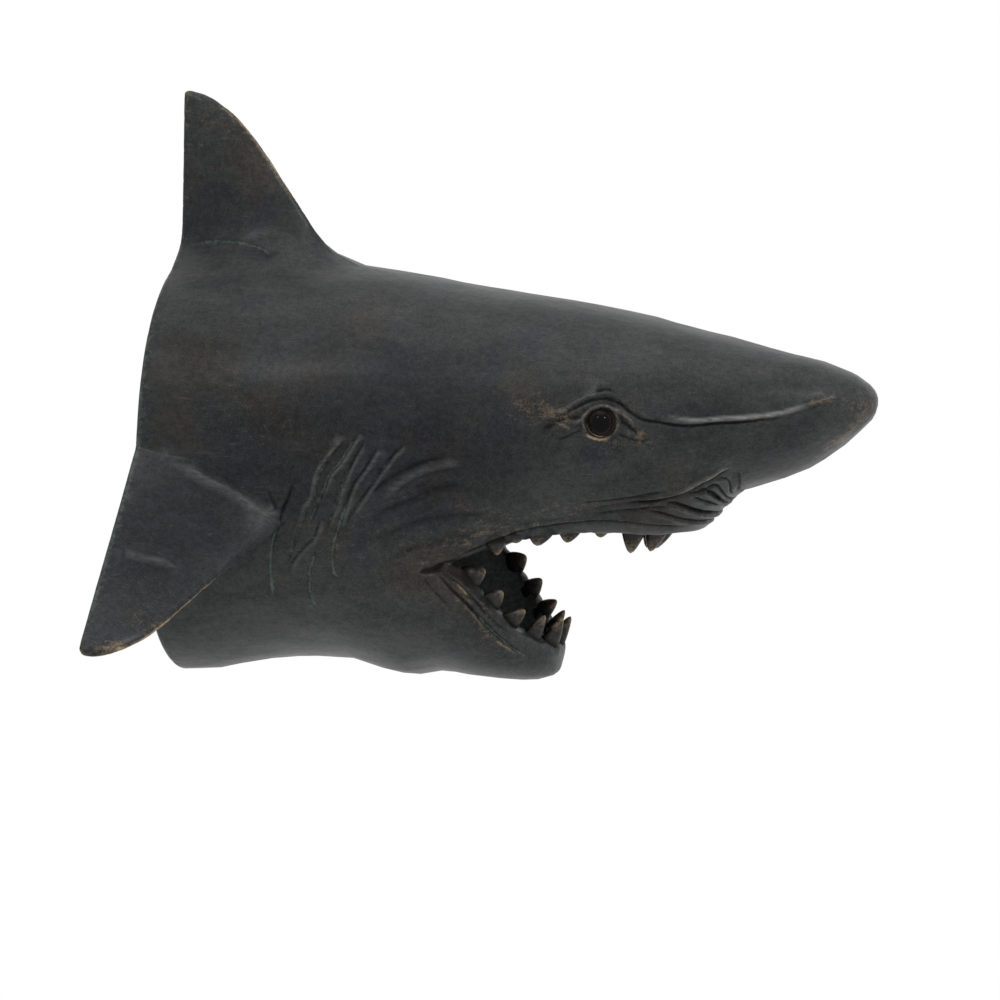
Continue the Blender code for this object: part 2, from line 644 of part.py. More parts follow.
def modelled(mesh, tree):
    """The skin with its folds, wrinkles, lids and soft forms, the same on both sides."""
    places, normals = mesh_arrays(mesh)
    one_side = places * (1, -1, 1)
    one_side[:, 1] = np.abs(places[:, 1])
    outward = normals[:, 1] * np.sign(places[:, 1])
    heights = np.zeros(len(places))
    for fold in FOLDS.values():
        heights += fold_heights(one_side, tree, fold)
    for middle, radius, height in SWELLINGS:
        centre = np.array(tree.find_nearest(spot(*middle))[0])
        far = np.linalg.norm(one_side - centre, axis=1) / (radius * FORM_RADIUS)
        heights += height * FORM_HEIGHT * np.exp(-(far**2))
    heights += lid_heights(one_side, eye_seat(tree, 1)[0])
    inside_mouth = np.clip((outward + 0.35) / 0.3, 0, 1)
    front = np.clip(normals[:, 0] / 0.3, 0, 1)
    places += normals * (heights * np.maximum(inside_mouth, front))[:, None]
    mesh.vertices.foreach_set("co", places.ravel())
    mesh.update()
    return mesh


def soften_fin_foot(mesh):
    """The dorsal fin's foot, drawn into the back in a wide hollow curve."""
    places, _ = mesh_arrays(mesh)
    edges = np.empty(len(mesh.edges) * 2, int)
    mesh.edges.foreach_get("vertices", edges)
    ends = edges.reshape(-1, 2).T
    count = np.bincount(edges, minlength=len(places))
    length, across = places[:, 0] / HEAD_LENGTH, np.abs(places[:, 1]) / (BACK_WIDTH / 2)
    share = np.exp(-(((places[:, 2] - BACK_HEIGHT / 2) / FOOT_HEIGHT) ** 2))
    share *= np.clip((0.30 - length) / 0.10, 0, 1) * np.clip((0.55 - across) / 0.20, 0, 1)
    soft = places.copy()
    for _ in range(FOOT_ROUNDS):
        for axis in range(3):
            column = soft[:, axis].copy()
            total = np.bincount(ends[0], column[ends[1]], len(places))
            total += np.bincount(ends[1], column[ends[0]], len(places))
            soft[:, axis] = (column + total / count) / 2
    places += (soft - places) * share[:, None]
    mesh.vertices.foreach_set("co", places.ravel())
    mesh.update()


def skin_mesh():
    """Head, jaw and fins run together into one skin and modelled, as the wax of the pattern was, then
    thinned out to fewer faces where it is plain."""
    wax = add_helper("wax", joined("wax", jaw_meshes() + fin_meshes()))
    add_modifier(wax, "REMESH", mode="VOXEL", voxel_size=SKIN_GRAIN)
    add_modifier(wax, "SMOOTH", factor=0.5, iterations=SOFTENING)
    smooth = baked(wax)
    soften_fin_foot(smooth)
    tree = skin_tree(smooth)
    skin = add_helper("skin", modelled(smooth, tree))
    triangles = sum(len(face.vertices) - 2 for face in skin.data.polygons)
    add_modifier(skin, "DECIMATE", ratio=min(1, SKIN_TRIANGLES / triangles), use_collapse_triangulate=True)
    mesh = baked(skin)
    remove(wax, skin)
    return mesh, tree


def box_mesh(name, low, high):
    corners = [(low[0], low[1]), (high[0], low[1]), (high[0], high[1]), (low[0], high[1])]
    return mesh_from_rings(name, [[Vector((x, y, z)) for x, y in corners] for z in (low[2], high[2])])


def stadium(x, width, lift):
    """An upright slot's outline at depth x: round at the bottom, and at the top lift higher."""
    points = []
    for i in range(24):
        turn = math.tau * i / 24
        rise = lift if math.sin(turn) >= 0 else 0
        points.append(
            Vector((x, math.cos(turn) * width / 2, KEYHOLE_HEIGHT + rise + math.sin(turn) * width / 2))
        )
    return points


def keyhole_cutters():
    """A round entry for the screw's head, a slot above it for the neck, and a pocket behind both."""
    out = -TRIM
    shapes = {
        "keyhole_entry": [
            stadium(out, KEYHOLE_ENTRY, 0),
            stadium(KEYHOLE_LIP + KEYHOLE_OVERLAP, KEYHOLE_ENTRY, 0),
        ],
        "keyhole_slot": [
            stadium(out, KEYHOLE_SLOT, KEYHOLE_TRAVEL),
            stadium(KEYHOLE_LIP + KEYHOLE_OVERLAP, KEYHOLE_SLOT, KEYHOLE_TRAVEL),
        ],
        "keyhole_pocket": [
            stadium(KEYHOLE_LIP, KEYHOLE_ENTRY, KEYHOLE_TRAVEL),
            stadium(KEYHOLE_DEPTH, KEYHOLE_ENTRY, KEYHOLE_TRAVEL),
        ],
    }
    return [add_helper(name, mesh_from_rings(name, rings)) for name, rings in shapes.items()]


def eye_mesh(name, seat, facing, radius):
    """A glass cabochon: the front of a ball, on a straight shank that goes into the head."""
    front = seat + facing * EYE_SHOWING
    ball = front - facing * radius
    wide = facing.orthogonal().normalized()
    high = facing.cross(wide)
    rings = [[front]]
    profile = [
        (radius * math.sin(math.pi / 2 * i / BALL_RINGS), radius * math.cos(math.pi / 2 * i / BALL_RINGS))
        for i in range(1, BALL_RINGS + 1)
    ]
    profile.append((radius, EYE_SHOWING - EYE_DEPTH))
    for reach, ahead in profile:
        rings.append(
            [
                ball + facing * ahead + (wide * math.cos(turn) + high * math.sin(turn)) * reach
                for turn in (math.tau * i / 24 for i in range(24))
            ]
        )
    return mesh_from_rings(name, rings)


def build():
    for thing in list(bpy.data.objects):
        bpy.data.objects.remove(thing)
    bronze = material("bronzed_resin", (0.048, 0.049, 0.050), 0.42, 0.35)
    glass = material("black_glass", (0.006, 0.005, 0.005), 0.05, 0.0)

    skin, tree = skin_mesh()
    head = add_object("shark_head", skin)
    wall = add_helper("wall", box_mesh("wall", (-1, -1, -1), (0, 1, 1)))
    boolean(head, wall, "DIFFERENCE")
    for cutter in keyhole_cutters():
        boolean(head, cutter, "DIFFERENCE")
    for label, side in (("right_eye", -1), ("left_eye", 1)):
        seat, facing = eye_seat(tree, side)
        socket = add_helper(
            f"{label}_socket", eye_mesh(f"{label}_socket", seat, facing, EYE_DIAMETER / 2 + GLUE_GAP)
        )
        boolean(head, socket, "DIFFERENCE")
        eye = add_object(label, eye_mesh(label, seat, facing, EYE_DIAMETER / 2))
        eye.data.materials.append(glass)
    for label, teeth in (("upper_tooth", UPPER_TEETH), ("lower_tooth", LOWER_TEETH)):
        for side in (-1, 1):
            for mesh in row_of_teeth(label, teeth, side):
                boolean(head, add_helper(mesh.name, mesh), "UNION")
    head.data.materials.append(bronze)
    head.data.shade_smooth()


build()
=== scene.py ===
# A shark's head to hang on a wall, cast in resin with a dark bronze patina, with black glass eyes.
#
# Frame: +X from the wall to the nose, +Z up, the wall is the plane X = 0 and the origin is the middle of
# the flat back. The shark's right side, the one at -Y, faces the viewer. Sizes are in metres.

import math

import bmesh
import bpy
import numpy as np
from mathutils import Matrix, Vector
from mathutils.bvhtree import BVHTree
from mathutils.kdtree import KDTree


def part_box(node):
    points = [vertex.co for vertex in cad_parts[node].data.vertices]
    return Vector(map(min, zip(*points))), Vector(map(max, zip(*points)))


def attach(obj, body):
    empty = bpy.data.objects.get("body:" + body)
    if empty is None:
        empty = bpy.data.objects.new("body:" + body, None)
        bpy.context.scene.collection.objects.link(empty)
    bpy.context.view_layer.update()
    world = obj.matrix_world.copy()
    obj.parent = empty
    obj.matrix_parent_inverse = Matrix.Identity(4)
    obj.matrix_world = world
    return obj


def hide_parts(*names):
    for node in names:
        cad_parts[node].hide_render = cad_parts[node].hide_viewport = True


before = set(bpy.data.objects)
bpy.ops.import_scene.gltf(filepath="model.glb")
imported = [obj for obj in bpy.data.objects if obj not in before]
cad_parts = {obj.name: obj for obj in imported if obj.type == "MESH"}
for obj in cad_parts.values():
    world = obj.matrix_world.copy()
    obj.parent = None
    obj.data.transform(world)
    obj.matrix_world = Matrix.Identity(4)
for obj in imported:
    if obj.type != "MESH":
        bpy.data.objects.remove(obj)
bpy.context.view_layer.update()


# The view. The picture was taken from far off, 16 degrees in front of the square side view and 5 degrees
# above, with the head's back at the left and its nose at the right.

VIEW_TURN = math.radians(16)
VIEW_RISE = math.radians(5)
VIEW_DISTANCE = 20.0
PICTURE_WIDTH = 0.620
PICTURE_MIDDLE = Vector((0.2032, 0.0, -0.0181))

towards_viewer = Vector(
    (
        math.sin(VIEW_TURN) * math.cos(VIEW_RISE),
        -math.cos(VIEW_TURN) * math.cos(VIEW_RISE),
        math.sin(VIEW_RISE),
    )
)
camera_data = bpy.data.cameras.new("camera")
camera_data.lens = camera_data.sensor_width * VIEW_DISTANCE / PICTURE_WIDTH
camera_data.clip_end = 100
camera = bpy.data.objects.new("camera", camera_data)
camera.location = PICTURE_MIDDLE + towards_viewer * VIEW_DISTANCE
camera.rotation_mode = "QUATERNION"
camera.rotation_quaternion = (-towards_viewer).to_track_quat("-Z", "Y")
bpy.context.scene.collection.objects.link(camera)
bpy.context.scene.camera = camera
bpy.context.scene.view_settings.view_transform = "Standard"


# The room. A round pale floor lies well below the head, keeps its shadow and fades into a white
# background. Two small soft boxes hang above and in front, left and right of the camera, and a broad one
# hangs overhead. The room's own light is stronger from the nose's side.

FLOOR_MIDDLE = (0.2, 0.0, -0.42)
FLOOR_RADIUS = 1.6
FLOOR_FADE = (0.45, 0.95)
FLOOR_COLOUR = (0.90, 0.90, 0.90, 1)
WHITE = (1, 1, 1, 1)
ROOM_LIGHT = 0.86
NOSE_LIGHT = (0.48, 0.30, 0.0)
# Name, turn and rise in degrees, distance and width in metres, power in watts
BOX_LAMPS = (
    ("left_soft_box", -16, 46, 1.7, 0.18, 2.8),
    ("right_soft_box", 52, 40, 1.7, 0.20, 4.6),
    ("top_soft_box", 10, 84, 1.6, 1.20, 5.0),
)


def add_node(tree, kind, values=None, **settings):
    """A node with the given settings and input values. An input is a number, a colour or another node's
    output."""
    node = tree.nodes.new(kind)
    for name, value in settings.items():
        setattr(node, name, value)
    for name, value in (values or {}).items():
        if isinstance(value, bpy.types.NodeSocket):
            tree.links.new(value, node.inputs[name])
        else:
            node.inputs[name].default_value = value
    return node


def maths(tree, operation, first, second=0.0, clamp=False):
    node = add_node(tree, "ShaderNodeMath", {0: first, 1: second}, operation=operation, use_clamp=clamp)
    return node.outputs[0]


def seen_rays(tree):
    """1 for the rays that the camera, a gloss or a clear piece looks along, 0 for the light's own."""
    rays = add_node(tree, "ShaderNodeLightPath").outputs
    either = maths(tree, "MAXIMUM", rays["Is Camera Ray"], rays["Is Glossy Ray"])
    return maths(tree, "MAXIMUM", either, rays["Is Transmission Ray"])


def eased(tree, value, low, high):
    """A smooth step from 0 at low to 1 at high."""
    return add_node(
        tree,
        "ShaderNodeMapRange",
        {"Value": value, "From Min": low, "From Max": high},
        interpolation_type="SMOOTHSTEP",
    ).outputs["Result"]


floor_material = bpy.data.materials.new("pale_floor")
floor_material.use_nodes = True
tree = floor_material.node_tree
tree.nodes.clear()
place = add_node(tree, "ShaderNodeTexCoord").outputs["Object"]
middle = add_node(tree, "ShaderNodeVectorMath", {0: place, 1: FLOOR_MIDDLE}, operation="DISTANCE")
fade = eased(tree, middle.outputs["Value"], *FLOOR_FADE)
paint = add_node(tree, "ShaderNodeBsdfDiffuse", {"Color": FLOOR_COLOUR})
white = add_node(tree, "ShaderNodeEmission", {"Color": WHITE, "Strength": 1.0})
mixed = add_node(
    tree,
    "ShaderNodeMixShader",
    {"Fac": maths(tree, "MULTIPLY", fade, seen_rays(tree)), 1: paint.outputs[0], 2: white.outputs[0]},
)
add_node(tree, "ShaderNodeOutputMaterial", {"Surface": mixed.outputs[0]})

shape = bmesh.new()
bmesh.ops.create_circle(shape, cap_ends=True, segments=96, radius=FLOOR_RADIUS)
bmesh.ops.translate(shape, verts=shape.verts, vec=FLOOR_MIDDLE)
floor_mesh = bpy.data.meshes.new("floor")
shape.to_mesh(floor_mesh)
shape.free()
floor_mesh.materials.append(floor_material)
floor = bpy.data.objects.new("floor", floor_mesh)
bpy.context.scene.collection.objects.link(floor)

room = bpy.data.worlds.new("room")
room.use_nodes = True
bpy.context.scene.world = room
tree = room.node_tree
tree.nodes.clear()
way = add_node(tree, "ShaderNodeTexCoord").outputs["Generated"]
ahead = add_node(tree, "ShaderNodeVectorMath", {0: way, 1: NOSE_LIGHT}, operation="DOT_PRODUCT")
lit = maths(tree, "ADD", ROOM_LIGHT, ahead.outputs["Value"])
strength = add_node(
    tree, "ShaderNodeMapRange", {"Value": seen_rays(tree), "To Min": lit, "To Max": 1.0}
).outputs["Result"]
white = add_node(tree, "ShaderNodeBackground", {"Color": WHITE, "Strength": strength})
add_node(tree, "ShaderNodeOutputWorld", {"Surface": white.outputs[0]})

for name, turn, rise, distance, width, power in BOX_LAMPS:
    turn, rise = math.radians(turn), math.radians(rise)
    way = Vector((math.sin(turn) * math.cos(rise), -math.cos(turn) * math.cos(rise), math.sin(rise)))
    lamp_data = bpy.data.lights.new(name, "AREA")
    lamp_data.size = width
    lamp_data.energy = power
    lamp = bpy.data.objects.new(name, lamp_data)
    lamp.location = PICTURE_MIDDLE + way * distance
    lamp.rotation_mode = "QUATERNION"
    lamp.rotation_quaternion = (-way).to_track_quat("-Z", "Y")
    lamp.visible_camera = False
    bpy.context.scene.collection.objects.link(lamp)


# The casting. Head, jaws and fins are one hollow casting in resin filled with bronze powder, from a mould
# of a clay model. Its back is flat, with a keyhole for a screw, and a cup for each eye.
#
# The outlines are proportions, so that each follows the head's overall sizes: an X is a share of the
# head's length, a Y a share of half of the back's width, and a Z a share of half of the back's height.

# The head's overall sizes against the solid's box, which holds the fins too
LENGTH_SHARE, WIDTH_SHARE, HEIGHT_SHARE = 1.0009, 0.4769, 0.7088
lowest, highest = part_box("shark_head")
HEAD_LENGTH = (highest.x - lowest.x) * LENGTH_SHARE
BACK_WIDTH = (highest.y - lowest.y) * WIDTH_SHARE
BACK_HEIGHT = (highest.z - lowest.z) * HEIGHT_SHARE

# The fins: how far they stand out, how thick they are, and a pectoral fin's two slopes
DORSAL_RISE = 0.1045
DORSAL_THICKNESS = 0.026
PECTORAL_SPAN = 0.163
PECTORAL_THICKNESS = 0.024
PECTORAL_DROOP = math.radians(40.8)
PECTORAL_PITCH = math.radians(22)
# The fins' feet: where they run out into the body, ahead and aside as shares of the head's length and of
# half of the back's width. The rim at the wall: how far it is rounded, and where it is rubbed and green, a
# band that is also a painted highlight along that edge.
FOOT_LEVEL = 0.131
FOOT_HEIGHT = 0.015
FOOT_ROUNDS = 220
FOOT_AHEAD = (-0.40, -0.28)
FOOT_ASIDE = (-0.62, -0.40)
FIN_ROOT_WIDTH = 0.007
FIN_ROOT_REACH = 0.02
RIM_ROUND = 0.0022
RIM_BAND = (-0.0060, -0.0015)

# The eyes, their cups and the raised lid around each
EYE_PLACE = (0.647, 0.660, 0.297)
EYE_DIAMETER = 0.018
EYE_SHOWING = 0.0052
EYE_DEPTH = 0.0125
LID_RADIUS = 0.0106
LID_HEIGHT = 0.0013
LID_WIDTH = 0.0014
GLUE_GAP = 0.0003

# The keyhole, a round entry that narrows to a slot above it
KEYHOLE_HEIGHT = 0.080
KEYHOLE_ENTRY = 0.014
KEYHOLE_SLOT = 0.006
KEYHOLE_TRAVEL = 0.014
KEYHOLE_LIP = 0.004
KEYHOLE_DEPTH = 0.013
KEYHOLE_OVERLAP = 0.001

# The gums around the teeth and the reach of the painted shade round their feet, and how finely the clay is
# made, smoothed and thinned out
TOOTH_WIDTH = 0.0125
GUM_SWELL = 0.0004
GUM_SHADE = 0.0034
SKIN_GRAIN = 0.0010
SOFTENING = 32
SKIN_TRIANGLES = 190000
# Rounds of smoothing that part ridges from their ground and forms from the whole, and the shares of a
# course over which a fold, a mark and a streak fade out
FINE_ROUNDS = 8
BROAD_ROUNDS = 60
FOLD_FADE = 0.22
MARK_FADE = 0.08
STREAK_FADE = 0.2
# How near the wall a place counts as the flat back, and from what angle an edge is sharp
BACK_MARGIN = 0.0003
SHARP_ANGLE = math.radians(50)
# Height, seed, longest and shortest wave, number of waves
UNEVENNESS = ((0.00012, 4, 0.060, 0.018, 40), (0.00009, 9, 0.016, 0.007, 60))
TRIM = 0.015
SIDE_POINTS = 96
LOFT_STEPS = 8
BALL_RINGS = 10

# Sections of the cranium and snout, from the wall to the nose: X, top, bottom, half width, widest height
CRANIUM = (
    (-0.034, 1.000, -1.000, 1.000, 0.000),
    (0.000, 1.000, -1.000, 1.000, 0.000),
    (0.052, 1.000, -0.993, 0.998, 0.004),
    (0.123, 0.998, -0.935, 0.990, 0.016),
    (0.235, 0.990, -0.910, 0.955, 0.047),
    (0.336, 0.945, -0.940, 0.898, 0.090),
    (0.385, 0.916, -0.860, 0.862, 0.120),
    (0.432, 0.892, -0.660, 0.824, 0.150),
    (0.484, 0.868, -0.500, 0.780, 0.185),
    (0.556, 0.836, -0.410, 0.728, 0.230),
    (0.628, 0.796, -0.390, 0.682, 0.262),
    (0.695, 0.746, -0.360, 0.632, 0.277),
    (0.738, 0.712, -0.296, 0.592, 0.282),
    (0.772, 0.684, -0.170, 0.556, 0.288),
    (0.805, 0.660, -0.062, 0.524, 0.300),
    (0.852, 0.617, -0.018, 0.458, 0.322),
    (0.895, 0.588, 0.036, 0.378, 0.345),
    (0.935, 0.552, 0.118, 0.295, 0.370),
    (0.962, 0.517, 0.196, 0.222, 0.378),
    (0.983, 0.472, 0.262, 0.148, 0.376),
    (0.996, 0.424, 0.322, 0.072, 0.374),
    (1.000, 0.374, 0.374, 0.000, 0.374),
)
# Sections of the throat and lower jaw, from inside the body to the chin
LOWER_JAW = (
    (0.040, 0.300, -0.880, 0.820, -0.080),
    (0.150, 0.200, -0.925, 0.925, -0.080),
    (0.235, 0.160, -0.912, 0.915, -0.100),
    (0.290, 0.060, -0.970, 0.880, -0.160),
    (0.340, -0.060, -1.002, 0.825, -0.260),
    (0.378, -0.150, -0.968, 0.765, -0.370),
    (0.405, -0.250, -0.985, 0.710, -0.480),
    (0.437, -0.380, -0.998, 0.625, -0.580),
    (0.470, -0.480, -1.010, 0.535, -0.675),
    (0.498, -0.590, -1.010, 0.440, -0.750),
    (0.520, -0.680, -1.002, 0.325, -0.830),
    (0.536, -0.745, -0.980, 0.195, -0.868),
    (0.542, -0.800, -0.945, 0.085, -0.880),
    (0.544, -0.880, -0.880, 0.000, -0.880),
)
# The hollow above the tongue, between the two rows of upper teeth
PALATE = (
    (0.292, -0.390, -0.390, 0.000, -0.390),
    (0.300, -0.300, -0.480, 0.160, -0.390),
    (0.325, -0.200, -0.580, 0.310, -0.390),
    (0.360, -0.135, -0.640, 0.410, -0.390),
    (0.405, -0.100, -0.660, 0.455, -0.390),
    (0.450, -0.090, -0.650, 0.455, -0.400),
    (0.490, -0.090, -0.620, 0.430, -0.390),
    (0.540, -0.098, -0.560, 0.360, -0.360),
    (0.580, -0.112, -0.510, 0.285, -0.345),
    (0.620, -0.145, -0.470, 0.190, -0.330),
    (0.650, -0.205, -0.420, 0.085, -0.330),
    (0.662, -0.330, -0.330, 0.000, -0.330),
)
# The scoop between the two rows of lower teeth
MOUTH_FLOOR = (
    (0.280, -0.500, -0.500, 0.000, -0.500),
    (0.290, -0.400, -0.610, 0.150, -0.500),
    (0.320, -0.300, -0.720, 0.290, -0.500),
    (0.365, -0.270, -0.810, 0.440, -0.505),
    (0.410, -0.280, -0.870, 0.455, -0.520),
    (0.450, -0.320, -0.895, 0.425, -0.560),
    (0.477, -0.390, -0.900, 0.365, -0.620),
    (0.498, -0.500, -0.890, 0.270, -0.690),
    (0.512, -0.620, -0.870, 0.150, -0.750),
    (0.518, -0.785, -0.785, 0.000, -0.785),
)
# The gape seen from the side, X and Z: along the upper gums, out in front, back along the lower gums
GAPE = (
    (0.413, -0.408),
    (0.437, -0.380),
    (0.473, -0.340),
    (0.513, -0.298),
    (0.554, -0.272),
    (0.599, -0.258),
    (0.650, -0.262),
    (0.700, -0.274),
    (0.730, -0.262),
    (0.900, -0.262),
    (0.900, -1.000),
    (0.620, -1.000),
    (0.545, -0.838),
    (0.527, -0.805),
    (0.498, -0.722),
    (0.477, -0.628),
    (0.452, -0.522),
    (0.434, -0.440),
)

# Leading edge of the dorsal fin: share of its rise above the back, X, share of its thickness
DORSAL_EDGE = (
    (-0.42, 0.310, 3.40),
    (-0.18, 0.276, 3.40),
    (-0.06, 0.262, 3.30),
    (0.00, 0.250, 2.75),
    (0.055, 0.224, 1.58),
    (0.10, 0.210, 1.10),
    (0.18, 0.192, 0.88),
    (0.30, 0.171, 0.75),
    (0.49, 0.141, 0.62),
    (0.68, 0.111, 0.51),
    (0.84, 0.079, 0.42),
    (0.94, 0.048, 0.35),
    (0.985, 0.024, 0.28),
    (1.00, 0.007, 0.20),
)
# Leading edge of a pectoral fin: share of its span, chord as a share of HEAD_LENGTH, share of its thickness
PECTORAL_EDGE = (
    (-0.20, 0.240, 1.05),
    (0.00, 0.227, 1.00),
    (0.06, 0.218, 0.94),
    (0.26, 0.179, 0.78),
    (0.52, 0.135, 0.62),
    (0.72, 0.104, 0.52),
    (0.84, 0.078, 0.45),
    (0.93, 0.050, 0.38),
    (0.98, 0.028, 0.31),
    (1.00, 0.012, 0.22),
)
# Where a pectoral fin leaves the body at the wall: Y and Z
PECTORAL_ROOT = (-0.975, 0.070)
# Teeth of one side, as seen in the mouth: foot X, Y, Z, then tip X, Y, Z, and shares of TOOTH_WIDTH and of
# TOOTH_THICKNESS
UPPER_TEETH = (
    ((0.486, 0.520, -0.300), (0.488, 0.512, -0.368), 1.05, 1.00),
    ((0.512, 0.478, -0.262), (0.513, 0.472, -0.312), 1.20, 1.05),
    ((0.544, 0.425, -0.240), (0.538, 0.420, -0.326), 1.50, 1.15),
    ((0.582, 0.360, -0.228), (0.577, 0.358, -0.312), 1.38, 1.10),
    ((0.622, 0.275, -0.226), (0.619, 0.272, -0.290), 1.15, 1.05),
    ((0.663, 0.190, -0.232), (0.656, 0.180, -0.370), 1.35, 1.30),
    ((0.689, 0.078, -0.240), (0.676, 0.066, -0.366), 1.25, 1.75),
)
LOWER_TEETH = (
    ((0.443, 0.462, -0.490), (0.464, 0.412, -0.446), 1.30, 1.10),
    ((0.471, 0.415, -0.608), (0.488, 0.395, -0.552), 1.10, 1.00),
    ((0.494, 0.345, -0.702), (0.515, 0.318, -0.648), 1.10, 1.05),
    ((0.515, 0.205, -0.790), (0.535, 0.190, -0.682), 1.05, 1.15),
    ((0.532, 0.080, -0.822), (0.552, 0.072, -0.702), 1.05, 1.30),
)
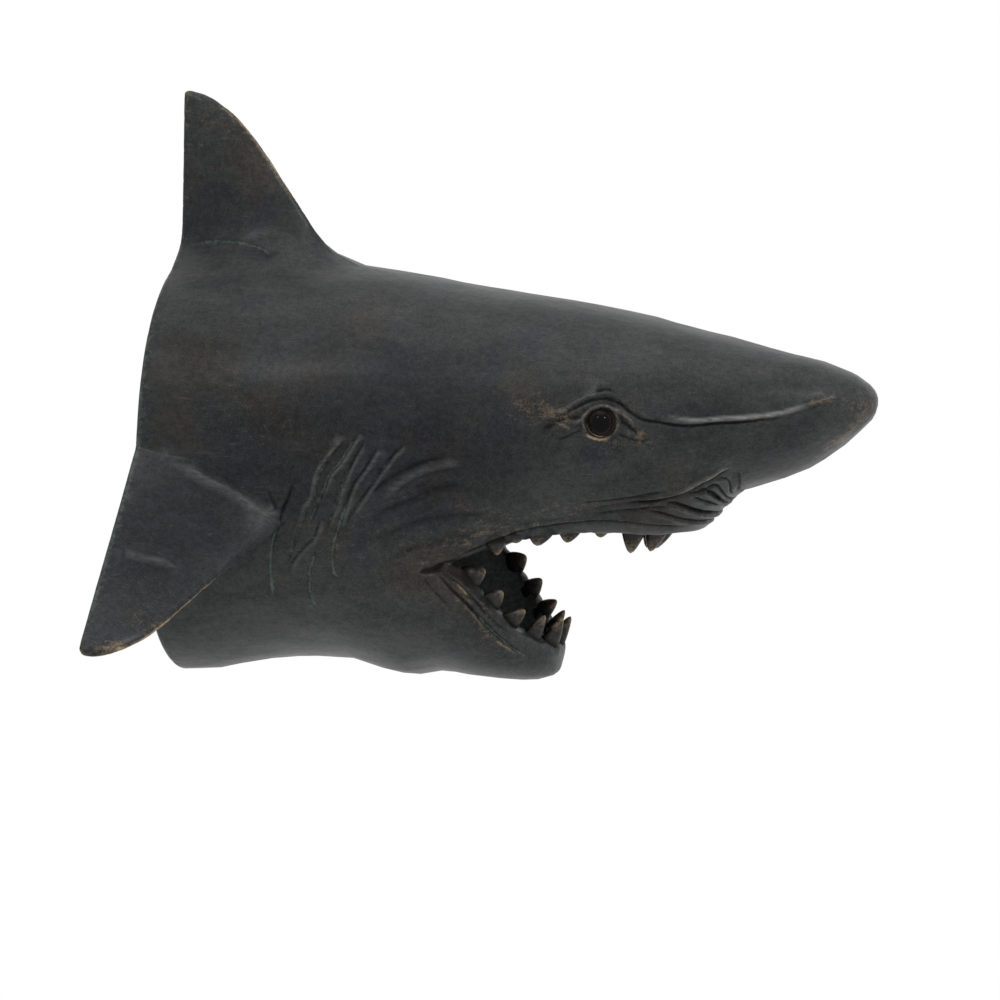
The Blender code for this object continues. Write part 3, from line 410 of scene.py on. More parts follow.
# Folds modelled into the skin: depth and half width in metres, height of the ridge beside it, how far that
# ridge leans over the fold, the way from the fold to the ridge, and the fold's course on one side
FOLDS = {
    "snout_crease": (0.0015, 0.0011, 0.0004, 0.0004, (0, 0, 1), (
        (0.690, 0.625, 0.320), (0.706, 0.610, 0.312), (0.722, 0.594, 0.303), (0.744, 0.565, 0.288),
        (0.768, 0.540, 0.283), (0.789, 0.518, 0.293), (0.809, 0.498, 0.298), (0.832, 0.459, 0.302),
        (0.861, 0.419, 0.312), (0.892, 0.368, 0.326),
    )),
    "snout_ridge": (-0.0015, 0.0014, 0.0, 0.0, (0, 0, 1), (
        (0.722, 0.600, 0.330), (0.752, 0.575, 0.316), (0.784, 0.551, 0.310), (0.811, 0.528, 0.320),
        (0.837, 0.484, 0.324), (0.862, 0.433, 0.330), (0.889, 0.400, 0.345), (0.914, 0.353, 0.370),
        (0.933, 0.314, 0.393), (0.951, 0.262, 0.410), (0.975, 0.170, 0.425),
    )),
    "under_snout_crease": (0.0010, 0.0060, 0.0, 0.0, (0, 0, 1), (
        (0.710, 0.610, 0.235), (0.765, 0.540, 0.220), (0.829, 0.466, 0.240), (0.880, 0.390, 0.262),
        (0.925, 0.300, 0.300), (0.955, 0.220, 0.335),
    )),
    "over_snout_crease": (0.0007, 0.0060, 0.0, 0.0, (0, 0, 1), (
        (0.720, 0.590, 0.400), (0.765, 0.540, 0.390), (0.829, 0.460, 0.405), (0.880, 0.380, 0.425),
        (0.925, 0.290, 0.450), (0.955, 0.200, 0.470),
    )),
    "lid_ridge": (-0.0015, 0.0012, 0.0, 0.0, (0, 0, 1), (
        (0.592, 0.704, 0.271), (0.603, 0.690, 0.282), (0.615, 0.682, 0.298), (0.626, 0.680, 0.330),
        (0.636, 0.664, 0.358), (0.648, 0.659, 0.374), (0.661, 0.655, 0.371), (0.673, 0.636, 0.347),
        (0.684, 0.628, 0.313), (0.694, 0.615, 0.283), (0.705, 0.615, 0.255),
    )),
    "lid_crease": (0.0010, 0.0011, 0.0009, 0.0000, (0, 0, 1), (
        (0.575, 0.712, 0.290), (0.586, 0.708, 0.318), (0.602, 0.699, 0.345), (0.620, 0.669, 0.382),
        (0.635, 0.656, 0.405), (0.654, 0.646, 0.412), (0.671, 0.634, 0.392), (0.683, 0.622, 0.358),
        (0.696, 0.615, 0.325), (0.714, 0.617, 0.304), (0.736, 0.579, 0.292),
    )),
    "brow_dimple": (0.0009, 0.0011, 0.0, 0.0, (0, 0, 1), (
        (0.638, 0.643, 0.440), (0.646, 0.640, 0.452), (0.655, 0.634, 0.456), (0.664, 0.625, 0.450),
    )),
    "eye_back_corner": (0.0010, 0.0020, 0.0003, 0.0000, (0, 0, 1), (
        (0.626, 0.683, 0.312), (0.612, 0.690, 0.318), (0.596, 0.700, 0.312), (0.578, 0.712, 0.280),
        (0.562, 0.720, 0.250),
    )),
    "eye_low_corner": (0.0006, 0.0012, 0.0, 0.0, (0, 0, 1), (
        (0.624, 0.680, 0.262), (0.615, 0.690, 0.252), (0.603, 0.702, 0.232), (0.588, 0.712, 0.212),
    )),
    "eye_front_corner": (0.0009, 0.0015, 0.0, 0.0, (0, 0, 1), (
        (0.672, 0.640, 0.310), (0.684, 0.634, 0.282), (0.694, 0.628, 0.255), (0.700, 0.622, 0.235),
    )),
    "eye_front_low": (0.0006, 0.0013, 0.0005, 0.0, (0, 0, 1), (
        (0.668, 0.640, 0.246), (0.682, 0.629, 0.226), (0.696, 0.621, 0.210), (0.712, 0.610, 0.200),
    )),
    "lip_fold": (0.0020, 0.0013, 0.0012, 0.0005, (-0.3, 0, 1), (
        (0.816, 0.383, 0.080), (0.812, 0.381, 0.058), (0.801, 0.384, 0.030), (0.790, 0.392, 0.008),
        (0.775, 0.415, -0.018), (0.760, 0.430, -0.045),
        (0.735, 0.450, -0.070), (0.705, 0.470, -0.085), (0.670, 0.505, -0.098),
    )),
    "lip_front_1": (0.0004, 0.0012, 0.0003, 0.0, (1, 0, 0), (
        (0.821, 0.320, 0.080), (0.820, 0.282, 0.045), (0.814, 0.188, -0.006),
        (0.804, 0.070, -0.044),
    )),
    "lip_front_2": (0.0005, 0.0012, 0.0005, 0.0, (1, 0, 0), (
        (0.812, 0.330, 0.045), (0.808, 0.280, 0.015), (0.804, 0.220, -0.015), (0.800, 0.177, -0.046),
        (0.794, 0.120, -0.074),
    )),
    "jaw_and_snout": (0.0008, 0.0024, 0.0, 0.0, (1, 0, 0), (
        (0.823, 0.360, 0.070), (0.815, 0.260, 0.000), (0.808, 0.130, -0.050), (0.805, 0.0, -0.060),
    )),
    "jaw_wrinkle_1": (0.0010, 0.0011, 0.0009, 0.0, (0, 0, -1), (
        (0.762, 0.440, -0.020), (0.774, 0.358, -0.031), (0.790, 0.336, -0.020), (0.792, 0.241, -0.050),
        (0.790, 0.126, -0.085), (0.788, 0.0, -0.095),
    )),
    "jaw_wrinkle_1b": (0.0006, 0.0010, 0.0006, 0.0, (0, 0, -1), (
        (0.784, 0.405, -0.005), (0.794, 0.380, 0.006), (0.803, 0.322, 0.022), (0.804, 0.253, -0.010),
        (0.799, 0.159, -0.053), (0.798, 0.060, -0.062),
    )),
    "jaw_wrinkle_2": (0.0014, 0.0012, 0.0012, 0.0, (0, 0, -1), (
        (0.742, 0.430, -0.055), (0.765, 0.393, -0.052), (0.780, 0.342, -0.050), (0.785, 0.240, -0.080),
        (0.784, 0.120, -0.108), (0.783, 0.0, -0.115),
    )),
    "jaw_wrinkle_3": (0.0019, 0.0012, 0.0013, 0.0, (0, 0, -1), (
        (0.715, 0.460, -0.091), (0.739, 0.415, -0.108), (0.758, 0.290, -0.150), (0.770, 0.130, -0.175),
        (0.772, 0.0, -0.178),
    )),
    "jaw_wrinkle_4": (0.0013, 0.0011, 0.0008, 0.0, (0, 0, -1), (
        (0.690, 0.470, -0.128), (0.722, 0.400, -0.162), (0.748, 0.250, -0.200), (0.760, 0.100, -0.212),
        (0.762, 0.0, -0.214),
    )),
    "jaw_line_1": (0.0009, 0.0009, 0.0004, 0.0, (0, 0, -1), (
        (0.768, 0.385, -0.022), (0.775, 0.350, -0.040), (0.780, 0.289, -0.062), (0.784, 0.168, -0.094),
        (0.786, 0.060, -0.096),
    )),
    "jaw_line_2": (0.0011, 0.0010, 0.0005, 0.0, (0, 0, -1), (
        (0.744, 0.410, -0.108), (0.756, 0.326, -0.141), (0.765, 0.223, -0.165), (0.772, 0.100, -0.170),
    )),
    "jaw_line_3": (0.0010, 0.0010, 0.0005, 0.0, (0, 0, -1), (
        (0.756, 0.403, -0.055), (0.764, 0.330, -0.080), (0.774, 0.220, -0.108), (0.780, 0.100, -0.124),
    )),
    "cheek_fold": (0.0006, 0.0028, 0.0007, 0.0000, (0, 0, 1), (
        (0.580, 0.560, -0.140), (0.641, 0.534, -0.128), (0.677, 0.526, -0.112), (0.720, 0.500, -0.100),
        (0.752, 0.440, -0.080), (0.775, 0.380, -0.050),
    )),
    "cheek_line_1": (0.0009, 0.0014, 0.0006, 0.0, (0, 0, 1), (
        (0.600, 0.560, -0.095), (0.650, 0.545, -0.088), (0.700, 0.530, -0.068), (0.740, 0.500, -0.040),
    )),
    "cheek_line_2": (0.0009, 0.0014, 0.0006, 0.0, (0, 0, 1), (
        (0.620, 0.520, -0.165), (0.665, 0.500, -0.152), (0.705, 0.470, -0.135), (0.742, 0.420, -0.120),
    )),
    "upper_lip": (0.0018, 0.0012, 0.0010, 0.0004, (0, 0, 1), (
        (0.430, 0.660, -0.392), (0.453, 0.582, -0.350), (0.494, 0.539, -0.286), (0.529, 0.523, -0.243),
        (0.565, 0.501, -0.222), (0.601, 0.489, -0.207), (0.636, 0.471, -0.200), (0.671, 0.438, -0.208),
        (0.704, 0.381, -0.230), (0.730, 0.312, -0.244), (0.748, 0.220, -0.250),
    )),
    "lower_lip": (0.0012, 0.0011, 0.0009, 0.0003, (-0.7, 0, -0.7), (
        (0.405, 0.680, -0.440), (0.419, 0.665, -0.475), (0.430, 0.644, -0.522), (0.442, 0.603, -0.577),
        (0.454, 0.569, -0.628), (0.464, 0.544, -0.672), (0.474, 0.510, -0.717), (0.486, 0.470, -0.765),
        (0.498, 0.420, -0.812), (0.512, 0.335, -0.862), (0.520, 0.280, -0.878),
    )),
    "lower_lip_line": (0.0005, 0.0009, 0.0003, 0.0000, (0.7, 0, 0.7), (
        (0.416, 0.664, -0.447), (0.434, 0.600, -0.490), (0.449, 0.575, -0.545), (0.462, 0.551, -0.595),
        (0.473, 0.535, -0.640), (0.484, 0.505, -0.690), (0.497, 0.460, -0.735), (0.510, 0.400, -0.785),
    )),
    "lower_gum": (0.0005, 0.0010, 0.0003, 0.0, (0, 0, 1), (
        (0.440, 0.575, -0.520), (0.455, 0.545, -0.580), (0.470, 0.520, -0.640), (0.484, 0.485, -0.700),
    )),
    "mouth_corner": (0.0024, 0.0018, 0.0006, 0.0, (0, 0, 1), (
        (0.388, 0.735, -0.450), (0.400, 0.714, -0.438), (0.414, 0.660, -0.422),
        (0.430, 0.600, -0.405),
    )),
    "jaw_hinge_line": (0.0006, 0.0016, 0.0003, 0.0000, (-1, 0, 0), (
        (0.392, 0.730, -0.450), (0.402, 0.715, -0.500), (0.418, 0.680, -0.570), (0.436, 0.630, -0.640),
    )),
    "gill_1": (0.0011, 0.0011, 0.0006, 0.0002, (1, 0, 0), (
        (0.226, 0.955, 0.030), (0.223, 0.958, -0.029), (0.217, 0.945, -0.084), (0.210, 0.936, -0.130),
        (0.204, 0.940, -0.187), (0.199, 0.930, -0.240), (0.191, 0.890, -0.306), (0.186, 0.846, -0.369),
        (0.183, 0.808, -0.439), (0.182, 0.781, -0.500), (0.181, 0.742, -0.568),
    )),
    "gill_1_side": (0.0003, 0.0010, 0.0003, 0.0, (-1, 0, 0), (
        (0.188, 0.968, -0.035), (0.190, 0.967, -0.060), (0.198, 0.956, -0.109), (0.200, 0.965, -0.160),
    )),
    "gill_2": (0.0009, 0.0010, 0.0008, 0.0002, (1, 0, 0), (
        (0.320, 0.895, 0.250), (0.307, 0.907, 0.189), (0.291, 0.927, 0.096), (0.276, 0.932, 0.037),
        (0.270, 0.938, -0.020), (0.261, 0.944, -0.090), (0.252, 0.927, -0.160), (0.240, 0.905, -0.226),
    )),
    "gill_line_2": (0.0006, 0.0009, 0.0006, 0.0000, (-1, 0, 0), (
        (0.303, 0.915, 0.230), (0.291, 0.920, 0.178), (0.275, 0.939, 0.106), (0.264, 0.951, 0.047),
        (0.258, 0.946, -0.022), (0.252, 0.931, -0.091), (0.242, 0.930, -0.141), (0.236, 0.917, -0.196),
        (0.225, 0.895, -0.281), (0.212, 0.851, -0.387), (0.204, 0.818, -0.454),
    )),
    "gill_3": (0.0005, 0.0010, 0.0004, 0.0000, (1, 0, 0), (
        (0.264, 0.915, -0.160), (0.260, 0.910, -0.194), (0.249, 0.887, -0.280), (0.233, 0.878, -0.330),
        (0.216, 0.846, -0.402), (0.208, 0.820, -0.470),
    )),
    "gill_4": (0.0011, 0.0011, 0.0005, 0.0000, (1, 0, 0), (
        (0.252, 0.860, -0.320), (0.247, 0.845, -0.380), (0.240, 0.812, -0.434), (0.238, 0.784, -0.481),
        (0.235, 0.738, -0.536), (0.238, 0.690, -0.620),
    )),
    "gill_5": (0.0007, 0.0010, 0.0006, 0.0000, (1, 0, 0), (
        (0.350, 0.883, 0.200), (0.339, 0.890, 0.146), (0.324, 0.900, 0.063), (0.310, 0.908, -0.006),
        (0.300, 0.905, -0.089), (0.295, 0.898, -0.139), (0.283, 0.875, -0.244), (0.276, 0.862, -0.328),
        (0.274, 0.835, -0.417), (0.277, 0.803, -0.488),
    )),
    "gill_line_5": (0.0005, 0.0009, 0.0006, 0.0000, (1, 0, 0), (
        (0.328, 0.900, 0.215), (0.317, 0.906, 0.155), (0.306, 0.917, 0.082), (0.292, 0.925, -0.025),
        (0.284, 0.921, -0.114), (0.270, 0.894, -0.224), (0.262, 0.880, -0.300),
    )),
    "gill_line_6": (0.0005, 0.0011, 0.0005, 0.0000, (1, 0, 0), (
        (0.386, 0.856, 0.206), (0.367, 0.873, 0.147), (0.350, 0.886, 0.069), (0.334, 0.893, -0.010),
        (0.316, 0.893, -0.098), (0.302, 0.892, -0.173), (0.292, 0.880, -0.240),
    )),
    "cheek_wave_1": (0.0009, 0.0030, 0.0007, 0.0000, (0, 0, 1), (
        (0.322, 0.870, -0.220), (0.340, 0.862, -0.165), (0.360, 0.852, -0.127), (0.387, 0.834, -0.087),
        (0.412, 0.817, -0.038), (0.446, 0.784, -0.018), (0.479, 0.739, -0.028),
    )),
    "cheek_wave_2": (0.0009, 0.0032, 0.0007, 0.0000, (0, 0, 1), (
        (0.325, 0.835, -0.330), (0.340, 0.824, -0.286), (0.371, 0.812, -0.226), (0.403, 0.787, -0.186),
        (0.436, 0.741, -0.168), (0.472, 0.679, -0.164), (0.507, 0.630, -0.150),
    )),
    "cheek_wave_3": (0.0008, 0.0026, 0.0006, 0.0000, (0, 0, 1), (
        (0.316, 0.895, -0.089), (0.345, 0.884, -0.019), (0.375, 0.865, 0.050), (0.407, 0.842, 0.100),
        (0.441, 0.814, 0.130),
    )),
    "cheek_wave_4": (0.0008, 0.0032, 0.0006, 0.0000, (0, 0, 1), (
        (0.340, 0.800, -0.430), (0.356, 0.796, -0.384), (0.386, 0.754, -0.326), (0.419, 0.716, -0.287),
        (0.458, 0.646, -0.260), (0.496, 0.572, -0.243),
    )),
    "cheek_wave_5": (0.0004, 0.0016, 0.0004, 0.0000, (0, 0, 1), (
        (0.350, 0.863, -0.112), (0.372, 0.858, -0.038), (0.399, 0.843, 0.022), (0.434, 0.815, 0.061),
        (0.470, 0.785, 0.070),
    )),
    "fin_ridge": (-0.0020, 0.0044, 0.0, 0.0, (0, 0, 1), (
        (0.048, 1.023, 0.083), (0.065, 1.023, 0.065), (0.083, 1.036, 0.048), (0.100, 1.049, 0.021),
        (0.117, 1.048, -0.007), (0.139, 1.046, -0.044), (0.160, 1.041, -0.086), (0.179, 1.032, -0.124),
        (0.194, 1.003, -0.169),
    )),
    "fin_ridge_2": (-0.0012, 0.0030, 0.0, 0.0, (0, 0, 1), (
        (0.014, 1.561, -0.319), (0.030, 1.552, -0.328), (0.047, 1.546, -0.341), (0.065, 1.533, -0.355),
        (0.080, 1.519, -0.370), (0.100, 1.490, -0.390),
    )),
    "fin_foot": (0.0003, 0.0012, 0.0003, 0.0, (0, 0, 1), (
        (0.008, 0.130, 1.060), (0.019, 0.121, 1.070), (0.037, 0.116, 1.086), (0.059, 0.120, 1.093),
        (0.081, 0.122, 1.090), (0.103, 0.131, 1.078), (0.122, 0.152, 1.057), (0.144, 0.193, 1.032),
    )),
}
# Soft forms: middle, radius and height in metres, a hollow where the height is below zero
SWELLINGS = (
    ((0.650, 0.640, 0.290), 0.0170, -0.0028),
    ((0.660, 0.600, 0.480), 0.0150, 0.0024),
    ((0.690, 0.622, 0.240), 0.0050, 0.0013),
    ((0.596, 0.700, 0.268), 0.0050, 0.0012),
    ((0.600, 0.690, 0.200), 0.0220, 0.0012),
    ((0.780, 0.400, -0.060), 0.0160, 0.0004),
    ((0.860, 0.330, 0.180), 0.0260, -0.0014),
    ((0.440, 0.640, -0.340), 0.0160, 0.0016),
    ((0.460, 0.540, -0.800), 0.0200, 0.0008),
    ((0.400, 0.700, -0.700), 0.0280, 0.0016),
    ((0.244, 0.930, 0.060), 0.0170, 0.0016),
    ((0.275, 0.900, -0.120), 0.0130, 0.0014),
    ((0.262, 0.850, -0.420), 0.0130, 0.0012),
    ((0.205, 0.930, -0.330), 0.0100, 0.0012),
)
# Verdigris that stays in the folds: fold, strength, half width and the parts of its course where it starts
# and ends
VERDIGRIS = (
    ("gill_1", 0.95, 0.0011, 0.42, 1.00),
    ("gill_2", 0.65, 0.0011, 0.12, 0.95),
    ("gill_line_2", 0.55, 0.0010, 0.15, 0.90),
    ("gill_3", 0.42, 0.0011, 0.20, 1.00),
    ("gill_4", 0.85, 0.0011, 0.10, 1.00),
    ("gill_5", 0.70, 0.0011, 0.45, 1.00),
    ("gill_line_5", 0.50, 0.0010, 0.30, 0.90),
    ("gill_line_6", 0.40, 0.0010, 0.20, 0.90),
    ("cheek_wave_1", 0.25, 0.0007, 0.00, 0.60),
    ("lip_fold", 0.30, 0.0007, 0.15, 1.00),
    ("lip_front_1", 0.35, 0.0007, 0.10, 0.90),
    ("lip_front_2", 0.45, 0.0007, 0.00, 0.90),
    ("jaw_wrinkle_1", 0.35, 0.0007, 0.10, 0.80),
    ("jaw_line_1", 0.35, 0.0007, 0.00, 0.80),
    ("cheek_line_2", 0.40, 0.0007, 0.00, 0.90),
    ("fin_foot", 0.55, 0.0012, 0.05, 0.95),
    ("lower_lip", 0.75, 0.0007, 0.42, 0.95),
    ("lower_lip_line", 0.25, 0.0007, 0.10, 0.60),
)
# Ridges polished by hand, with a pale painted highlight along them: fold, strength, half width and the parts
# of its course where that starts and ends
POLISHED_AND_HIGHLIGHTED = (
    ("snout_ridge", 1.00, 0.0013, 0.10, 0.72),
    ("lip_fold", 0.55, 0.0012, 0.05, 0.50),
    ("fin_ridge", 0.26, 0.0028, 0.15, 1.00),
    ("fin_ridge_2", 0.20, 0.0022, 0.00, 1.00),
    ("lid_ridge", 0.30, 0.0014, 0.20, 0.70),
    ("cheek_wave_5", 0.22, 0.0024, 0.10, 0.90),
    ("gill_line_2", 0.36, 0.0009, 0.00, 0.60),
    ("gill_2", 0.36, 0.0009, 0.00, 0.60),
    ("gill_5", 0.32, 0.0009, 0.00, 0.60),
    ("gill_line_6", 0.30, 0.0009, 0.00, 0.80),
    ("gill_line_5", 0.28, 0.0009, 0.10, 0.80),
    ("gill_3", 0.22, 0.0009, 0.10, 0.90),
)
# Streaks rubbed through to the bronze along an edge: half width, strength and course
STREAKS = (
    (0.0011, 0.80, ((0.436, 0.600, -0.503), (0.443, 0.590, -0.530), (0.450, 0.575, -0.562))),
    (0.0010, 0.62, (
        (0.461, 0.582, -0.673), (0.472, 0.544, -0.748), (0.486, 0.487, -0.799), (0.508, 0.380, -0.858),
    )),
    (0.0009, 0.60, ((0.467, 0.523, -0.604), (0.474, 0.523, -0.652), (0.484, 0.485, -0.700))),
    (0.0008, 0.55, ((0.424, 0.640, -0.470), (0.434, 0.605, -0.500), (0.446, 0.570, -0.560))),
    (0.0009, 0.80, (
        (0.775, 0.428, 0.002), (0.790, 0.399, 0.025), (0.801, 0.384, 0.046), (0.813, 0.381, 0.072),
    )),
    (0.0020, 0.26, (
        (0.560, 0.556, -0.150), (0.600, 0.547, -0.125), (0.650, 0.534, -0.105), (0.700, 0.500, -0.075),
        (0.745, 0.455, -0.040),
    )),
    (0.0022, 0.55, ((0.444, 0.659, -0.294), (0.470, 0.610, -0.262), (0.496, 0.579, -0.232))),
    (0.0030, 0.16, (
        (0.914, 0.353, 0.390), (0.933, 0.314, 0.395), (0.951, 0.262, 0.410), (0.968, 0.195, 0.405),
    )),
    (0.0014, 0.74, (
        (0.036, 0.030, 1.765), (0.060, 0.025, 1.735), (0.092, 0.020, 1.640), (0.114, 0.018, 1.540),
        (0.142, 0.016, 1.400), (0.172, 0.016, 1.240),
    )),
    (0.0014, 0.76, (
        (0.052, 2.010, -0.745), (0.082, 1.899, -0.715), (0.120, 1.684, -0.610), (0.165, 1.374, -0.450),
    )),
    (0.0010, 0.70, (
        (0.620, 0.684, 0.250), (0.629, 0.672, 0.232), (0.640, 0.663, 0.218), (0.654, 0.645, 0.212),
    )),
    (0.0010, 0.50, ((0.588, 0.706, 0.290), (0.600, 0.695, 0.278), (0.612, 0.686, 0.262))),
    (0.0010, 0.42, (
        (0.664, 0.640, 0.362), (0.678, 0.630, 0.330), (0.690, 0.628, 0.285), (0.700, 0.622, 0.252),
        (0.712, 0.610, 0.226),
    )),
    (0.0036, 0.52, (
        (0.993, 0.050, 0.420), (0.978, 0.090, 0.280), (0.946, 0.110, 0.170), (0.910, 0.120, 0.070),
        (0.870, 0.140, 0.000),
    )),
    (0.0009, 0.40, (
        (0.650, 0.650, 0.402), (0.668, 0.640, 0.404), (0.684, 0.630, 0.372), (0.700, 0.615, 0.335),
    )),
    (0.0011, 0.62, (
        (0.742, 0.440, -0.052), (0.765, 0.425, -0.022), (0.790, 0.399, 0.022), (0.806, 0.384, 0.062),
    )),
)
# Places rubbed through to the bronze by hand: middle, radius along the head, radius up it, strength
RUBS = (
    ((0.540, 0.715, 0.370), 0.0160, 0.0080, 0.42),
    ((0.573, 0.708, 0.345), 0.0150, 0.0080, 0.48),
    ((0.600, 0.692, 0.322), 0.0120, 0.0060, 0.30),
    ((0.706, 0.618, 0.215), 0.0140, 0.0080, 0.42),
    ((0.650, 0.650, 0.200), 0.0140, 0.0040, 0.44),
    ((0.945, 0.255, 0.398), 0.0190, 0.0090, 0.28),
    ((0.992, 0.070, 0.340), 0.0130, 0.0200, 0.46),
    ((0.955, 0.170, 0.140), 0.0240, 0.0080, 0.36),
    ((0.800, 0.370, 0.045), 0.0060, 0.0035, 0.40),
    ((0.484, 0.505, -0.785), 0.0110, 0.0060, 0.20),
    ((0.455, 0.580, -0.640), 0.0100, 0.0080, 0.30),
    ((0.447, 0.577, -0.548), 0.0060, 0.0070, 0.40),
    ((0.580, 0.560, -0.130), 0.0280, 0.0080, 0.44),
    ((0.490, 0.640, -0.235), 0.0280, 0.0060, 0.38),
    ((0.420, 0.700, -0.320), 0.0300, 0.0110, 0.36),
    ((0.470, 0.700, -0.150), 0.0280, 0.0040, 0.30),
    ((0.300, 0.860, -0.300), 0.0300, 0.0200, 0.22),
    ((0.200, 0.930, 0.240), 0.0500, 0.0200, 0.22),
    ((0.430, 0.780, 0.560), 0.0500, 0.0100, 0.22),
    ((0.130, 0.900, 0.520), 0.0300, 0.0300, 0.22),
    ((0.030, 0.045, 1.690), 0.0140, 0.0200, 0.30),
    ((0.075, 0.035, 1.580), 0.0150, 0.0150, 0.26),
    ((0.125, 0.030, 1.400), 0.0100, 0.0200, 0.24),
    ((0.040, 2.020, -0.745), 0.0150, 0.0050, 0.90),
    ((0.070, 1.850, -0.640), 0.0180, 0.0060, 0.50),
    ((0.069, 1.688, -0.480), 0.0200, 0.0180, 0.24),
)
# Places where the patina is darker and bluer, or with a share below 0 paler: middle, radius, share. Some are
# painted light: the darker ones on the pectoral fin are painted shade, the paler ones on the nose and the
# belly painted light.
STAINS_AND_PAINTED_LIGHT = (
    ((0.454, 0.800, 0.080), 0.0300, 0.50),
    ((0.400, 0.820, 0.060), 0.0260, 0.30),
    ((0.398, 0.823, -0.087), 0.0200, 0.20),
    ((0.508, 0.740, 0.040), 0.0220, 0.30),
    ((0.300, 0.900, 0.380), 0.0500, 0.50),
    ((0.200, 0.950, 0.020), 0.0500, 0.40),
    ((0.090, 0.980, 0.420), 0.0450, 0.35),
    ((0.430, 0.800, 0.420), 0.0400, 0.35),
    ((0.060, 0.040, 1.300), 0.0260, 0.35),
    ((0.020, 0.050, 1.150), 0.0180, 0.40),
    ((0.100, 0.045, 1.430), 0.0110, -0.90),
    # Painted shade: the pectoral fin darker
    ((0.060, 1.330, -0.180), 0.0300, 1.00),
    ((0.110, 1.200, -0.180), 0.0300, 0.90),
    ((0.050, 1.640, -0.430), 0.0340, 1.00),
    # Painted light: the nose paler
    ((0.950, 0.200, 0.160), 0.0280, -0.90),
    ((0.985, 0.080, 0.430), 0.0200, -0.80),
    # Paler round the upper lip
    ((0.600, 0.560, -0.160), 0.0260, -0.60),
    ((0.520, 0.610, -0.220), 0.0260, -0.50),
    # Painted light from below: the belly paler
    ((0.200, 0.700, -0.950), 0.0500, -0.60),
    ((0.330, 0.700, -0.800), 0.0400, -0.50),
    ((0.460, 0.450, -1.000), 0.0300, -0.30),
)


def spot(x, y, z):
    """A point of the head from its three shares."""
    return Vector((x * HEAD_LENGTH, y * BACK_WIDTH / 2, z * BACK_HEIGHT / 2))


def add_object(name, mesh):
    thing = bpy.data.objects.new(name, mesh)
    bpy.context.scene.collection.objects.link(thing)
    return thing


def mesh_from_rings(name, rings):
    """A closed mesh through rings of equally many points. A ring of one point closes an end to that point,
    and any other end is filled flat."""
    shape = bmesh.new()
    rows = [[shape.verts.new(point) for point in ring] for ring in rings]
    for row, after in zip(rows, rows[1:]):
        count = max(len(row), len(after))
        for i in range(count):
            j = (i + 1) % count
            corners = [row[i % len(row)], row[j % len(row)], after[j % len(after)], after[i % len(after)]]
            shape.faces.new(list(dict.fromkeys(corners)))
    for end in (rows[0], rows[-1]):
        if len(end) > 1:
            shape.faces.new(end)
    bmesh.ops.recalc_face_normals(shape, faces=shape.faces)
    if shape.calc_volume(signed=True) < 0:
        bmesh.ops.reverse_faces(shape, faces=shape.faces)
    mesh = bpy.data.meshes.new(name)
    shape.to_mesh(mesh)
    shape.free()
    return mesh


def smooth_rows(rows, steps):
    """Rows of numbers with steps smooth ones after each, on a curve through them all that bunches up
    nowhere and does not overshoot."""
    table = np.array(rows, float)
    spans = np.maximum(np.linalg.norm(np.diff(table[:, :3], axis=0), axis=1), 1e-9)[:, None]
    climbs = np.diff(table, axis=0) / spans
    before, after = climbs[:-1], climbs[1:]
    same_way = before * after > 0
    first, second = 2 * spans[1:] + spans[:-1], spans[1:] + 2 * spans[:-1]
    slopes = np.zeros_like(table)
    safe_before, safe_after = np.where(same_way, before, 1), np.where(same_way, after, 1)
    slopes[1:-1] = np.where(same_way, (first + second) / (first / safe_before + second / safe_after), 0)
    slopes[0], slopes[-1] = climbs[0], climbs[-1]
    if np.isclose(rows[-1][1], rows[-1][2]):
        slopes[-1, 0] = 0
    made = []
    for i, span in enumerate(spans[:, 0]):
        for step in range(steps):
            t = step / steps
            made.append(
                (2 * t**3 - 3 * t**2 + 1) * table[i]
                + (t**3 - 2 * t**2 + t) * slopes[i] * span
                + (3 * t**2 - 2 * t**3) * table[i + 1]
                + (t**3 - t**2) * slopes[i + 1] * span
            )
    made = np.array(made + [table[-1]])
    for apart in (2, 4):
        inner = np.arange(apart, len(made) - 2 * steps)
        made[inner] = made[inner] / 2 + (made[inner - apart] + made[inner + apart]) / 4
    return made


def section(x, top, bottom, half_width, widest, fullness):
    """One cross-section: an upper and a lower half-oval that meet at the widest height."""
    if half_width < 1e-6:
        return [spot(x, 0, widest)]
    ring = []
    for i in range(SIDE_POINTS):
        turn = math.tau * i / SIDE_POINTS
        power = 2 / fullness[0] if math.sin(turn) > 0 else 2 / fullness[1]
        across = math.copysign(abs(math.cos(turn)) ** power, math.cos(turn))
        upward = math.copysign(abs(math.sin(turn)) ** power, math.sin(turn))
        reach = top - widest if upward > 0 else widest - bottom
        ring.append(spot(x, half_width * across, widest + reach * upward))
    return ring


def body_loft(name, stations, fullness):
    rows = smooth_rows(stations, LOFT_STEPS)
    return mesh_from_rings(name, [section(*row, fullness) for row in rows])


